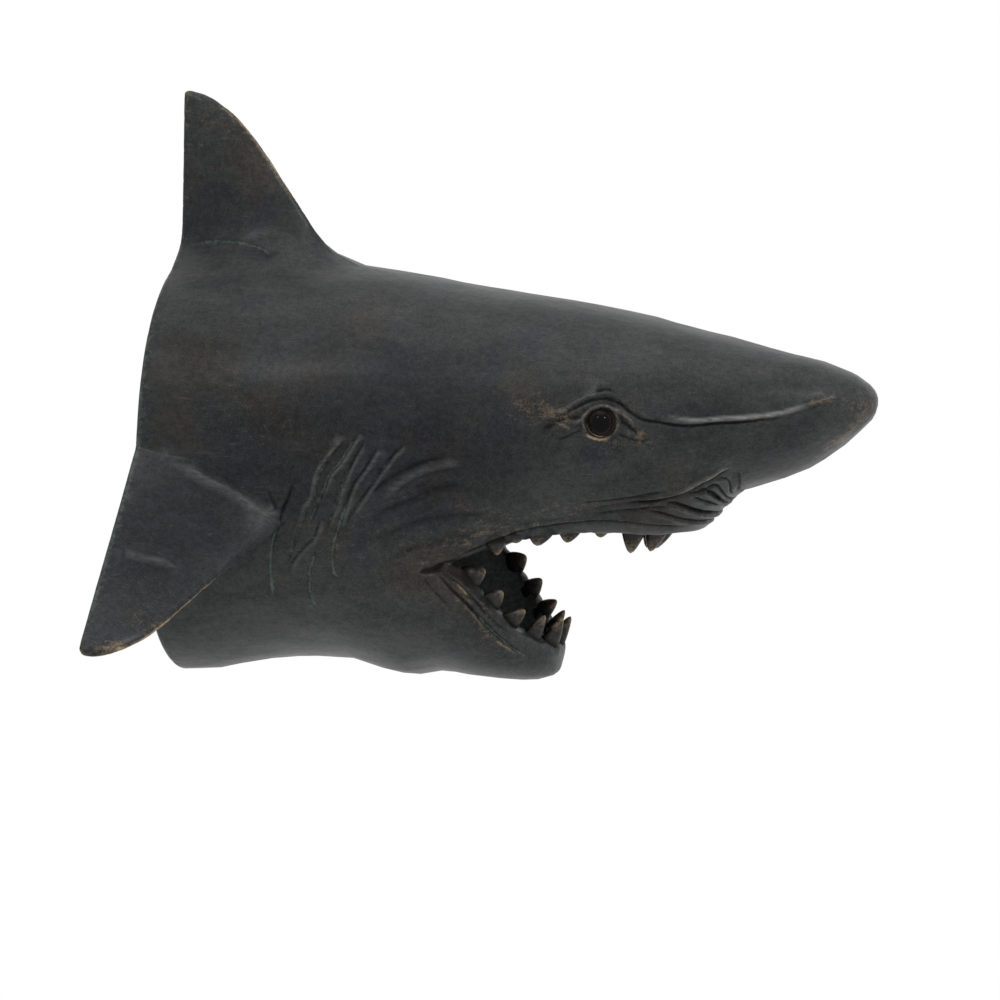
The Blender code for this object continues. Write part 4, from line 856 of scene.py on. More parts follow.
def fin_loft(name, root, outward, chordwise, span, thickness, edge):
    """A fin from its leading edge. Each section starts behind the wall, keeps most of its thickness there
    and is round at its leading edge."""
    across = outward.cross(chordwise).normalized()
    rings = []
    for share, chord_share, thick_share in smooth_rows(edge, LOFT_STEPS):
        chord = chord_share * HEAD_LENGTH
        foot = root + outward * (share * span)
        half = thickness * thick_share / 2
        one_side = []
        for along in (0.0, 0.15, 0.3, 0.45, 0.6, 0.73, 0.84, 0.92, 0.97, 1.0):
            swell = math.sqrt(1 - along**3) * (0.72 + 1.1 * along * (1 - along))
            one_side.append((chord * along, half * swell))
        one_side.insert(0, (-TRIM, half * 0.72))
        ring = [foot + chordwise * far + across * out for far, out in one_side]
        ring += [foot + chordwise * far - across * out for far, out in reversed(one_side[:-1])]
        rings.append(ring)
    return mesh_from_rings(name, rings)


def prism(name, outline, reach):
    """The gape's outline, run across the whole head."""
    rings = [[spot(x, side * reach, z) for x, z in outline] for side in (-1, 1)]
    return mesh_from_rings(name, rings)


def mirrored(point, side):
    return Vector((point[0], point[1] * side, point[2]))


def add_modifier(thing, kind, **settings):
    modifier = thing.modifiers.new(kind.title(), kind)
    for key, value in settings.items():
        setattr(modifier, key, value)
    return modifier


def boolean(thing, other, operation, solver="EXACT"):
    add_modifier(thing, "BOOLEAN", object=other, operation=operation, solver=solver)


def baked(thing):
    """The object's mesh as its modifiers leave it."""
    bpy.context.view_layer.update()
    graph = bpy.context.evaluated_depsgraph_get()
    return bpy.data.meshes.new_from_object(thing.evaluated_get(graph))


def remove(*things):
    for thing in things:
        bpy.data.objects.remove(thing)


def joined(name, meshes):
    """Several closed meshes in one, still overlapping."""
    shape = bmesh.new()
    for mesh in meshes:
        shape.from_mesh(mesh)
    mesh = bpy.data.meshes.new(name)
    shape.to_mesh(mesh)
    shape.free()
    return mesh


def jaw_meshes():
    """The cranium and the lower jaw, each with the gape and the mouth's two hollows cut from it."""
    gape = add_object("gape", prism("gape", GAPE, 1.6))
    palate = add_object("palate", body_loft("palate", PALATE, (2.4, 2.4)))
    floor = add_object("mouth_floor", body_loft("mouth_floor", MOUTH_FLOOR, (2.3, 2.3)))
    meshes = []
    for name, stations, fullness in (("cranium", CRANIUM, (2.1, 1.9)), ("lower_jaw", LOWER_JAW, (2.0, 1.95))):
        half = add_object(name, body_loft(name, stations, fullness))
        for cutter in (gape, palate, floor):
            boolean(half, cutter, "DIFFERENCE")
        meshes.append(baked(half))
        remove(half)
    remove(gape, palate, floor)
    return meshes


def fin_meshes():
    top, up, ahead = Vector((0, 0, BACK_HEIGHT / 2)), Vector((0, 0, 1)), Vector((1, 0, 0))
    meshes = [fin_loft("dorsal_fin", top, up, ahead, DORSAL_RISE, DORSAL_THICKNESS, DORSAL_EDGE)]
    for side in (-1, 1):
        root = spot(0, -side * PECTORAL_ROOT[0], PECTORAL_ROOT[1])
        outward = Vector((0, side * math.cos(PECTORAL_DROOP), -math.sin(PECTORAL_DROOP)))
        chordwise = Vector((math.cos(PECTORAL_PITCH), 0, -math.sin(PECTORAL_PITCH)))
        shape = (root, outward, chordwise, PECTORAL_SPAN, PECTORAL_THICKNESS, PECTORAL_EDGE)
        meshes.append(fin_loft("pectoral_fin", *shape))
    return meshes


def places_of(mesh):
    places = np.empty(len(mesh.vertices) * 3)
    mesh.vertices.foreach_get("co", places)
    return places.reshape(-1, 3)


def normals_of(mesh):
    normals = np.empty(len(mesh.vertices) * 3)
    mesh.vertex_normals.foreach_get("vector", normals)
    return normals.reshape(-1, 3)


def offsets_from(places, course):
    """From the nearest point of a course to each place: the offset, its length, and the share of the
    course's length that lies before it."""
    steps = np.linalg.norm(np.diff(course, axis=0), axis=1)
    before = np.concatenate(([0], np.cumsum(steps)))
    nearest = np.full(len(places), np.inf)
    offsets = np.zeros_like(places)
    shares = np.zeros(len(places))
    for start, end, step, gone in zip(course, course[1:], steps, before):
        along = np.clip((places - start) @ (end - start) / step**2, 0, 1)
        offset = places - (start + along[:, None] * (end - start))
        far = np.linalg.norm(offset, axis=1)
        closer = far < nearest
        nearest[closer] = far[closer]
        offsets[closer] = offset[closer]
        shares[closer] = (gone + along[closer] * step) / before[-1]
    return offsets, nearest, shares


def rounded_course(points):
    """A smooth course through points, with four steps from each to the next."""
    ends = [points[0] * 2 - points[1], *points, points[-1] * 2 - points[-2]]
    course = []
    for a, b, c, d in zip(ends, ends[1:], ends[2:], ends[3:]):
        for t in (0, 0.25, 0.5, 0.75):
            slope, curve, twist = c - a, 2 * a - 5 * b + 4 * c - d, 3 * b - a - 3 * c + d
            course.append(0.5 * (2 * b + slope * t + curve * t**2 + twist * t**3))
    return course + [points[-1]]


def within(places, course, reach):
    """Which places lie in the box around a course, widened by the reach."""
    return np.all((places > course.min(axis=0) - reach) & (places < course.max(axis=0) + reach), axis=1)


def bell(far, width):
    """1 where far is 0, sinking softly to 0 at some widths."""
    return np.exp(-((far / width) ** 2))


def on_skin(surface, point):
    """The place on the skin that is nearest to a point of the head."""
    return surface.find_nearest(spot(*point))[0]


def course_on_skin(surface, points):
    return np.array(rounded_course([on_skin(surface, point) for point in points]))


def distance_to(places, centre):
    return np.linalg.norm(places - np.array(centre), axis=1)


def eye_seat(surface, side):
    """Where an eye sits on the skin, and the way that it looks."""
    seat, facing, _, _ = surface.find_nearest(spot(*EYE_PLACE))
    return mirrored(seat, side), mirrored(facing, side)


def smoothed(places, edges, rounds):
    """Each place drawn to the middle of its neighbours, a number of times."""
    count = np.bincount(edges.ravel(), minlength=len(places))[:, None]
    for _ in range(rounds):
        total = np.empty_like(places)
        for axis in range(3):
            column = places[:, axis]
            total[:, axis] = np.bincount(edges[:, 0], column[edges[:, 1]], len(places))
            total[:, axis] += np.bincount(edges[:, 1], column[edges[:, 0]], len(places))
        places = (places + total / count) / 2
    return places


def stepped(values, low, high):
    share = np.clip((values - low) / (high - low), 0, 1)
    return share * share * (3 - 2 * share)


def unevenness(places, seed, longest, shortest, waves):
    """A slow, hand-made waviness of the surface, from -1 to 1."""
    draw = np.random.default_rng(seed)
    total = np.zeros(len(places))
    for _ in range(waves):
        way = draw.normal(size=3)
        way /= np.linalg.norm(way)
        length = longest * (shortest / longest) ** draw.random()
        total += np.sin(places @ way * math.tau / length + draw.random() * math.tau)
    return total / math.sqrt(waves)


# The clay: lofts run together into one skin, then smoothed

wax = add_object("wax", joined("wax", jaw_meshes() + fin_meshes()))
add_modifier(wax, "REMESH", mode="VOXEL", voxel_size=SKIN_GRAIN)
add_modifier(wax, "SMOOTH", factor=0.5, iterations=SOFTENING)
skin = baked(wax)
remove(wax)

# The fins' feet run into the body in wide hollow curves

places = places_of(skin)
edges = np.empty(len(skin.edges) * 2, int)
skin.edges.foreach_get("vertices", edges)
edges = edges.reshape(-1, 2)
ahead, aside = np.array(FOOT_AHEAD) * HEAD_LENGTH, np.array(FOOT_ASIDE) * BACK_WIDTH / 2
foot = bell(places[:, 2] - FOOT_LEVEL, FOOT_HEIGHT) * stepped(-places[:, 0], *ahead)
foot *= stepped(-np.abs(places[:, 1]), *aside)
one_side = np.column_stack((places[:, 0], np.abs(places[:, 1]), places[:, 2]))
root = np.array([spot(*point) for point in FOLDS["fin_ridge"][-1]])
near = within(one_side, root, FIN_ROOT_REACH)
_, far, _ = offsets_from(one_side[near], root)
foot[near] = np.maximum(foot[near], 0.8 * bell(far, FIN_ROOT_WIDTH))
places += (smoothed(places, edges, FOOT_ROUNDS) - places) * foot[:, None]
skin.vertices.foreach_set("co", places.ravel())
skin.update()
surface = BVHTree.FromPolygons(
    [vertex.co.copy() for vertex in skin.vertices], [list(face.vertices) for face in skin.polygons]
)

# The modelling: every place is folded over to the left side and moved along its normal, and the rim at the
# wall is rounded off

places, normals = places_of(skin), normals_of(skin)
one_side = places * (1, -1, 1)
one_side[:, 1] = np.abs(places[:, 1])
outward = normals[:, 1] * np.sign(places[:, 1])
seat = np.array(eye_seat(surface, 1)[0])
heights, drift = np.zeros(len(places)), np.zeros_like(places)
green, ridges, polish_and_highlight, groove = (np.zeros(len(places)) for _ in range(4))
verdigris = {name: facts for name, *facts in VERDIGRIS}
polished_and_highlighted = {name: facts for name, *facts in POLISHED_AND_HIGHLIGHTED}
for name, (depth, width, ridge, lean, toward, points) in FOLDS.items():
    course = course_on_skin(surface, points)
    close = within(one_side, course, 5 * width)
    offsets, far, shares = offsets_from(one_side[close], course)
    fade = stepped(shares, 0, FOLD_FADE)
    if course[-1][1] > 0.002:
        fade = np.minimum(fade, stepped(1 - shares, 0, FOLD_FADE))
    beside = 0.5 + 0.5 * np.tanh(offsets @ (np.array(toward, float) / width))
    crest = beside * bell(far - 1.9 * width, 1.3 * width)
    heights[close] += fade * (ridge * crest - depth * bell(far, width))
    drift[close] -= np.outer(fade * lean * crest, toward)
    ridges[close] = np.maximum(ridges[close], fade * crest * min(1, ridge / 0.0015))
    deep = fade * min(1, depth / 0.0016) * bell(far, 0.8 * width)
    groove[close] = np.maximum(groove[close], deep)
    for marks, mask in ((verdigris, green), (polished_and_highlighted, polish_and_highlight)):
        if name in marks:
            strength, reach, start, end = marks[name]
            along = stepped(shares, start - MARK_FADE, start + MARK_FADE)
            along *= stepped(1 - shares, 1 - end - MARK_FADE, 1 - end + MARK_FADE)
            if depth > 0 and marks is polished_and_highlighted:
                far = np.abs(far - 2 * width)
                strength = strength * beside
            mask[close] = np.maximum(mask[close], strength * along * bell(far, reach))
for middle, radius, height in SWELLINGS:
    heights += height * bell(distance_to(one_side, on_skin(surface, middle)), radius)
far = distance_to(one_side, seat)
above = np.clip((one_side[:, 2] - seat[2]) / LID_RADIUS, -1, 1)
lid = bell(far - LID_RADIUS, LID_WIDTH)
heights += LID_HEIGHT * (1 + 0.3 * above) * lid
for teeth in (UPPER_TEETH, LOWER_TEETH):
    for foot, _, width, _ in teeth:
        far = distance_to(one_side, spot(*foot))
        heights += GUM_SWELL * bell(far - width * TOOTH_WIDTH * 0.66, 0.0018)
        groove = np.maximum(groove, 0.8 * bell(far - width * TOOTH_WIDTH * 0.50, 0.0012))
inside_mouth = np.clip((outward + 0.35) / 0.3, 0, 1)
front = np.clip(normals[:, 0] / 0.3, 0, 1)
shown = np.maximum(inside_mouth, front)
heights *= shown
for height, *waves in UNEVENNESS:
    heights += height * unevenness(places, *waves)
drift[:, 1] *= np.where(places[:, 1] > 0, 1.0, -1.0)
rim = np.clip(1 - places[:, 0] / RIM_ROUND, 0, 1.4)
heights -= RIM_ROUND * (1 - np.sqrt(np.clip(1 - rim**2, 0.04, 1))) * 0.8
places = places + normals * heights[:, None] + drift * shown[:, None]
skin.vertices.foreach_set("co", places.ravel())
skin.update()

# The wear: the patina is rubbed off the ridges and stays in the hollows, and painted shade darkens the
# gums round the teeth's feet

normals = normals_of(skin)
fine = smoothed(places, edges, FINE_ROUNDS)
broad = smoothed(fine, edges, BROAD_ROUNDS)
bulge = np.einsum("ij,ij->i", places - fine, normals)
form = np.einsum("ij,ij->i", fine - broad, normals)
worn = 0.26 * stepped(bulge, 0.00010, 0.00040) + 0.34 * stepped(form, 0.0006, 0.0024)
worn += 0.08 * ridges * shown + 0.34 * lid
for middle, wide, high, strength in RUBS:
    near = ((one_side - np.array(on_skin(surface, middle))) / (wide, (wide + high) / 2, high)) ** 2
    worn += strength * np.exp(-near.sum(axis=1)) * shown
for width, strength, points in STREAKS:
    course = course_on_skin(surface, points)
    close = within(one_side, course, 4 * width)
    _, far, shares = offsets_from(one_side[close], course)
    fade = np.minimum(stepped(shares, 0, STREAK_FADE), stepped(1 - shares, 0, STREAK_FADE))
    worn[close] += strength * (0.3 + 0.7 * fade) * bell(far, width)
# Painted shade on the gums round the teeth's feet
for teeth in (UPPER_TEETH, LOWER_TEETH):
    feet = np.array([spot(*foot) for foot, _, _, _ in teeth])
    _, far, _ = offsets_from(one_side, feet)
    groove = np.maximum(groove, 1.2 * bell(far, GUM_SHADE))
# Stains, darker and bluer or paler, some of them painted shade and painted light
stain_and_painted_light = np.zeros(len(places))
for middle, radius, strength in STAINS_AND_PAINTED_LIGHT:
    stain_and_painted_light += strength * bell(distance_to(one_side, on_skin(surface, middle)), radius)
# The rim at the wall rubbed and green, which is also a painted highlight along its edge
edge = stepped(-places[:, 0], *RIM_BAND)
worn += 0.30 * edge
green = np.maximum(green, 0.55 * edge * (0.5 + 0.5 * stepped(-np.abs(places[:, 2]), -0.105, -0.060)))
hollow = 0.8 * stepped(-bulge, 0.00004, 0.00030) + 0.7 * stepped(-form, 0.0004, 0.0018) + 0.7 * groove
masks = {
    "worn": np.clip(worn, 0, 1),
    "hollow": np.clip(hollow, 0, 1),
    "verdigris": np.clip(green * shown, 0, 1),
    "polish_and_highlight": np.clip(polish_and_highlight * shown, 0, 1),
    "stain_and_painted_light": np.clip(stain_and_painted_light, -1, 1),
    "mouth": np.clip(1 - shown, 0, 1),
}

# The casting: thinned out where it is plain, cut flat at the wall, and cut for the keyhole and the eyes

detail = np.clip(np.abs(bulge) / 0.00012 + green * 1.5 + ridges * 0.8, 0, 1)
clay = add_object("clay", skin)
group = clay.vertex_groups.new(name="detail")
for level in range(1, 11):
    chosen = np.flatnonzero(np.ceil(detail * 10) == level)
    group.add(chosen.tolist(), level / 10, "REPLACE")
triangles = sum(len(face.vertices) - 2 for face in skin.polygons)
add_modifier(
    clay,
    "DECIMATE",
    ratio=SKIN_TRIANGLES / triangles,
    use_collapse_triangulate=True,
    vertex_group="detail",
    invert_vertex_group=True,
    vertex_group_factor=1.0,
)
head = add_object("head_casting", baked(clay))
remove(clay)


def box_mesh(name, low, high):
    corners = [(low[0], low[1]), (high[0], low[1]), (high[0], high[1]), (low[0], high[1])]
    return mesh_from_rings(name, [[Vector((x, y, z)) for x, y in corners] for z in (low[2], high[2])])


def stadium(x, width, lift):
    """An upright slot's outline at depth x: round at the bottom, and at the top lift higher."""
    points = []
    for i in range(24):
        turn = math.tau * i / 24
        rise = lift if math.sin(turn) >= 0 else 0
        points.append(
            Vector((x, math.cos(turn) * width / 2, KEYHOLE_HEIGHT + rise + math.sin(turn) * width / 2))
        )
    return points


def keyhole_cutters():
    """A round entry for the screw's head, a slot above it for the neck, and a pocket behind both."""
    out = -TRIM
    shapes = {
        "keyhole_entry": [
            stadium(out, KEYHOLE_ENTRY, 0),
            stadium(KEYHOLE_LIP + KEYHOLE_OVERLAP, KEYHOLE_ENTRY, 0),
        ],
        "keyhole_slot": [
            stadium(out, KEYHOLE_SLOT, KEYHOLE_TRAVEL),
            stadium(KEYHOLE_LIP + KEYHOLE_OVERLAP, KEYHOLE_SLOT, KEYHOLE_TRAVEL),
        ],
        "keyhole_pocket": [
            stadium(KEYHOLE_LIP, KEYHOLE_ENTRY, KEYHOLE_TRAVEL),
            stadium(KEYHOLE_DEPTH, KEYHOLE_ENTRY, KEYHOLE_TRAVEL),
        ],
    }
    return [add_object(name, mesh_from_rings(name, rings)) for name, rings in shapes.items()]


def eye_mesh(name, seat, facing, radius):
    """A glass cabochon: the front of a ball, on a straight shank that goes into the head."""
    front = seat + facing * EYE_SHOWING
    ball = front - facing * radius
    wide = facing.orthogonal().normalized()
    high = facing.cross(wide)
    rings = [[front]]
    tilts = [math.pi / 2 * i / BALL_RINGS for i in range(1, BALL_RINGS + 1)]
    profile = [(radius * math.sin(tilt), radius * math.cos(tilt)) for tilt in tilts]
    profile.append((radius, EYE_SHOWING - EYE_DEPTH))
    for reach, ahead in profile:
        rings.append(
            [
                ball + facing * ahead + (wide * math.cos(turn) + high * math.sin(turn)) * reach
                for turn in (math.tau * i / 24 for i in range(24))
            ]
        )
    return mesh_from_rings(name, rings)


cutters = [add_object("wall", box_mesh("wall", (-1, -1, -1), (0, 1, 1)))] + keyhole_cutters()
for side in (-1, 1):
    eye_at, eye_way = eye_seat(surface, side)
    cutters.append(add_object("socket", eye_mesh("socket", eye_at, eye_way, EYE_DIAMETER / 2 + GLUE_GAP)))
for cutter in cutters:
    boolean(head, cutter, "DIFFERENCE", "MANIFOLD")
cast = baked(head)
head.modifiers.clear()
head.data = cast
head.vertex_groups.clear()
remove(*cutters)

# Each place of the casting takes the wear of the nearest place of the clay, and the flat back has none

finder = KDTree(len(places))
for i, point in enumerate(places.tolist()):
    finder.insert(point, i)
finder.balance()
nearest = np.array([finder.find(vertex.co)[1] for vertex in cast.vertices])
on_back = np.array([vertex.co.x < BACK_MARGIN for vertex in cast.vertices])
for name, values in masks.items():
    shares = np.where(on_back, 0, values[nearest])
    cast.attributes.new(name, "FLOAT", "POINT").data.foreach_set("value", shares.astype(np.float32))
cast.shade_smooth()
cast.set_sharp_from_angle(angle=SHARP_ANGLE)


# The patina: a black-brown ground stained slate blue and brown, brushed from nose to tail, with the
# bronze showing where it is rubbed off, verdigris in the folds and a thin, uneven coat of wax. Painted light
# lies in it too: a paler ground inside the mouth, pale highlights on the polished ridges, and painted shade
# and light in some of the stains.

WARM_STROKES = (0.036, 0.027, 0.020, 1)
# The paler, cooler ground inside the mouth is painted light
MOUTH_PAINTED_LIGHT = (0.085, 0.095, 0.092, 1)
SCRATCHED = (0.060, 0.057, 0.050, 1)
PAINTED_HIGHLIGHT = (0.185, 0.185, 0.180, 1)
DUST = (0.095, 0.093, 0.080, 1)
DULL_BRONZE = (0.072, 0.052, 0.033, 1)
BARE_BRONZE = (0.420, 0.320, 0.200, 1)

patina = bpy.data.node_groups.new("bronze_patina", "ShaderNodeTree")
for name, kind, value in (
    ("Place", "NodeSocketVector", (0, 0, 0)),
    ("Worn", "NodeSocketFloat", 0.0),
    ("Hollow", "NodeSocketFloat", 0.0),
    ("Verdigris", "NodeSocketFloat", 0.0),
    ("Polish and highlight", "NodeSocketFloat", 0.0),
    ("Stain and painted light", "NodeSocketFloat", 0.0),
    ("Inside", "NodeSocketFloat", 0.0),
    ("Slate", "NodeSocketColor", (0.0170, 0.0185, 0.0188, 1)),
    ("Brown", "NodeSocketColor", (0.0235, 0.0189, 0.0140, 1)),
    ("Blue", "NodeSocketColor", (0.0110, 0.0130, 0.0185, 1)),
    ("Bronze", "NodeSocketColor", (0.168, 0.130, 0.084, 1)),
    ("Green", "NodeSocketColor", (0.085, 0.120, 0.103, 1)),
    ("Brushing", "NodeSocketFloat", 0.3),
):
    patina.interface.new_socket(name, in_out="INPUT", socket_type=kind).default_value = value
for name, kind in (
    ("Colour", "NodeSocketColor"),
    ("Roughness", "NodeSocketFloat"),
    ("Metallic", "NodeSocketFloat"),
    ("Wax", "NodeSocketFloat"),
    ("Height", "NodeSocketFloat"),
):
    patina.interface.new_socket(name, in_out="OUTPUT", socket_type=kind)


def noise(tree, place, scale, detail=3.0, roughness=0.55, stretch=(1, 1, 1), turn=(0, 0, 0)):
    """A cloudy pattern, stretched along the object where the stretch is below 1."""
    mapped = add_node(tree, "ShaderNodeMapping", {"Vector": place, "Scale": stretch, "Rotation": turn})
    return add_node(
        tree,
        "ShaderNodeTexNoise",
        {"Vector": mapped.outputs[0], "Scale": scale, "Detail": detail, "Roughness": roughness},
    ).outputs["Fac"]


def blended(tree, amount, first, second, blend="MIX"):
    inputs = {0: amount, 6: first, 7: second}
    return add_node(tree, "ShaderNodeMix", inputs, data_type="RGBA", blend_type=blend).outputs[2]


def scaled(tree, value, share, clamp=False):
    return maths(tree, "MULTIPLY", value, share, clamp)


def added(tree, base, value, share, clamp=False):
    """The base and a share of the value."""
    return maths(tree, "ADD", base, scaled(tree, value, share), clamp)


def lessened(tree, base, value, share):
    """The base, smaller by the share where the value is 1."""
    return maths(tree, "MULTIPLY", base, maths(tree, "SUBTRACT", 1.0, scaled(tree, value, share)))


def swayed(tree, base, pattern, middle, share, clamp=False):
    """The base, raised and lowered by a share of a pattern about its middle."""
    return added(tree, base, maths(tree, "SUBTRACT", pattern, middle), share, clamp)


tree = patina
given = add_node(tree, "NodeGroupInput").outputs
place = given["Place"]
cloud = noise(tree, place, 13, 4)
cloud_2 = noise(tree, place, 29, 4, 0.6, turn=(0.6, 0.2, 1.1))
patches = noise(tree, place, 62, 4, 0.6, (0.55, 0.9, 1.0), (0, 0.3, 0))
strokes = noise(tree, place, 170, 5, 0.62, (0.14, 0.9, 1.0))
strokes_2 = noise(tree, place, 430, 4, 0.6, (0.22, 0.9, 1.0), (0, 0.12, 0))
mottle = noise(tree, place, 260, 5, 0.68)
grain = noise(tree, place, 1050, 3, 0.7)
hairs = noise(tree, place, 760, 2, 0.5, (0.06, 0.6, 1.0), (0, 0.22, 0))

ground = blended(tree, eased(tree, cloud, 0.51, 0.70), given["Slate"], given["Brown"])
bluish = added(tree, eased(tree, cloud_2, 0.54, 0.70), given["Stain and painted light"], 0.75, True)
ground = blended(tree, scaled(tree, bluish, 0.80, True), ground, given["Blue"])
warm_strokes = scaled(tree, eased(tree, strokes, 0.54, 0.68), eased(tree, patches, 0.44, 0.60))
ground = blended(tree, scaled(tree, warm_strokes, 0.40), ground, WARM_STROKES)
# Inside the mouth the ground turns paler and cooler: painted light, for the light reflected into the mouth
ground = blended(tree, scaled(tree, given["Inside"], 0.90), ground, MOUTH_PAINTED_LIGHT)
light = 0.24
for pattern, low, high, share in (
    (strokes_2, 0.36, 0.64, 0.20),
    (mottle, 0.38, 0.62, 0.42),
    (grain, 0.38, 0.62, 0.56),
    (patches, 0.38, 0.62, 0.26),
):
    light = added(tree, light, eased(tree, pattern, low, high), share)
# Darker in the hollows, where the patina stays, and on the gums round the teeth, painted shade
light = lessened(tree, light, given["Hollow"], 0.60)
# Darker where stained and paler below 0, in part painted shade and painted light
light = lessened(tree, light, given["Stain and painted light"], 0.30)
dimmed = add_node(tree, "ShaderNodeVectorMath", {0: ground, 3: light}, operation="SCALE").outputs[0]

scratches = scaled(tree, eased(tree, hairs, 0.62, 0.72), eased(tree, patches, 0.46, 0.62))
dimmed = blended(tree, scaled(tree, scratches, 0.45), dimmed, SCRATCHED)
# A pale painted highlight along the polished ridges, broken by the brush strokes
brushed = added(tree, 0.35, eased(tree, strokes_2, 0.36, 0.60), 0.65)
painted_highlight = scaled(tree, given["Polish and highlight"], brushed)
dimmed = blended(tree, scaled(tree, painted_highlight, 0.80), dimmed, PAINTED_HIGHLIGHT)

dust = add_node(tree, "ShaderNodeTexVoronoi", {"Vector": place, "Scale": 210.0, "Randomness": 1.0})
speck = eased(tree, dust.outputs["Distance"], 0.095, 0.040)
speck = scaled(tree, speck, eased(tree, noise(tree, place, 38, 3), 0.50, 0.64))
dusted = blended(tree, scaled(tree, speck, 0.50), dimmed, DUST)

rubbed = given["Worn"]
for pattern, share in ((mottle, 1.20), (strokes_2, 1.30), (grain, 2.00)):
    rubbed = swayed(tree, rubbed, pattern, 0.5, share)
rubbed = eased(tree, rubbed, 0.42, 0.90)
rubbed = scaled(tree, rubbed, eased(tree, given["Worn"], 0.03, 0.25))
metal = blended(tree, eased(tree, grain, 0.35, 0.68), given["Bronze"], DULL_BRONZE)
metal = blended(tree, eased(tree, given["Worn"], 0.80, 1.10), metal, BARE_BRONZE)
bared = blended(tree, scaled(tree, rubbed, 0.78), dusted, metal)

crust = swayed(tree, given["Verdigris"], mottle, 0.5, 0.9)
crust = swayed(tree, crust, grain, 0.5, 0.5)
crust = scaled(tree, eased(tree, crust, 0.24, 0.85), eased(tree, given["Verdigris"], 0.05, 0.30))
colour = blended(tree, scaled(tree, crust, 0.80), bared, given["Green"])

shine = added(tree, 0.37, grain, 0.18)
shine = maths(tree, "SUBTRACT", shine, scaled(tree, rubbed, 0.05))
shine = maths(tree, "SUBTRACT", shine, scaled(tree, given["Polish and highlight"], 0.10))
shine = added(tree, shine, crust, 0.25)
shine = added(tree, shine, given["Hollow"], 0.35, True)
wax = maths(tree, "SUBTRACT", 0.34, scaled(tree, given["Stain and painted light"], 0.30))
wax = scaled(tree, wax, added(tree, 0.65, eased(tree, patches, 0.34, 0.66), 0.16))
wax = swayed(tree, wax, mottle, 0.42, 0.20, True)
wax = swayed(tree, wax, grain, 0.5, 0.36, True)
wax = lessened(tree, wax, given["Hollow"], 0.90)
wax = added(tree, wax, given["Polish and highlight"], 0.60, True)
relief = scaled(tree, strokes, 0.35)
for pattern, share in ((strokes_2, given["Brushing"]), (grain, 0.36), (mottle, 0.45), (scratches, 0.10)):
    relief = added(tree, relief, pattern, share)
add_node(
    tree,
    "NodeGroupOutput",
    {
        "Colour": colour,
        "Roughness": shine,
        "Metallic": scaled(tree, rubbed, 0.40),
        "Wax": wax,
        "Height": relief,
    },
)


def patinated(name, relief, **looks):
    """A material with the patina over the piece's own wear masks."""
    made = bpy.data.materials.new(name)
    made.use_nodes = True
    tree = made.node_tree
    shader = tree.nodes["Principled BSDF"]
    masks = {
        given: add_node(tree, "ShaderNodeAttribute", attribute_name=name).outputs["Fac"]
        for given, name in (
            ("Worn", "worn"),
            ("Hollow", "hollow"),
            ("Verdigris", "verdigris"),
            ("Polish and highlight", "polish_and_highlight"),
            ("Stain and painted light", "stain_and_painted_light"),
            ("Inside", "mouth"),
        )
    }
    place = add_node(tree, "ShaderNodeTexCoord").outputs["Object"]
    node = add_node(tree, "ShaderNodeGroup", node_tree=patina)
    tree.links.new(place, node.inputs["Place"])
    for given, output in masks.items():
        tree.links.new(output, node.inputs[given])
    for given, value in looks.items():
        node.inputs[given].default_value = value
    height = node.outputs["Height"]
    bump = add_node(tree, "ShaderNodeBump", {"Height": height, "Distance": relief, "Strength": 1.0})
    for made_by, goes_to in (
        ("Colour", "Base Color"),
        ("Roughness", "Roughness"),
        ("Metallic", "Metallic"),
        ("Wax", "Coat Weight"),
    ):
        tree.links.new(node.outputs[made_by], shader.inputs[goes_to])
    tree.links.new(bump.outputs[0], shader.inputs["Normal"])
    shader.inputs["Specular IOR Level"].default_value = 0.12
    shader.inputs["Coat Roughness"].default_value = 0.30
    return made


cast.materials.clear()
cast.materials.append(patinated("bronzed_casting", 0.00042))
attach(head, "root")
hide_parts("shark_head")


# The teeth. 24 blunt, flattened points of unequal size, cast in one with the gums, their tips rubbed
# back to the bronze. Each is the same tooth, set on its foot, turned and sized.

TOOTH_THICKNESS = 0.0078
TOOTH_PROFILE = ((0.16, 0.955), (0.35, 0.84), (0.60, 0.63), (0.80, 0.41), (0.92, 0.25), (0.98, 0.12))
TOOTH_PATINA = (0.0105, 0.0098, 0.0088, 1)

tooth_points = []
for teeth in (UPPER_TEETH, LOWER_TEETH):
    feet = [spot(*foot) for foot, _, _, _ in teeth]
    for i, (_, tip, width, thickness) in enumerate(teeth):
        along = (feet[min(i + 1, len(feet) - 1)] - feet[max(i - 1, 0)]).normalized()
        lean = spot(*tip) - feet[i]
        for side in (-1, 1):
            tooth_points.append(
                (
                    mirrored(feet[i], side),
                    mirrored(lean.normalized(), side),
                    mirrored(along, side),
                    (width * TOOTH_WIDTH, thickness * TOOTH_THICKNESS, lean.length),
                )
            )
sockets = bpy.data.meshes.new("tooth_feet")
sockets.from_pydata([foot for foot, _, _, _ in tooth_points], [], [])
for column, name in ((1, "up"), (2, "along"), (3, "size")):
    values = np.array([tuple(row[column]) for row in tooth_points], np.float32)
    sockets.attributes.new(name, "FLOAT_VECTOR", "POINT").data.foreach_set("vector", values.ravel())

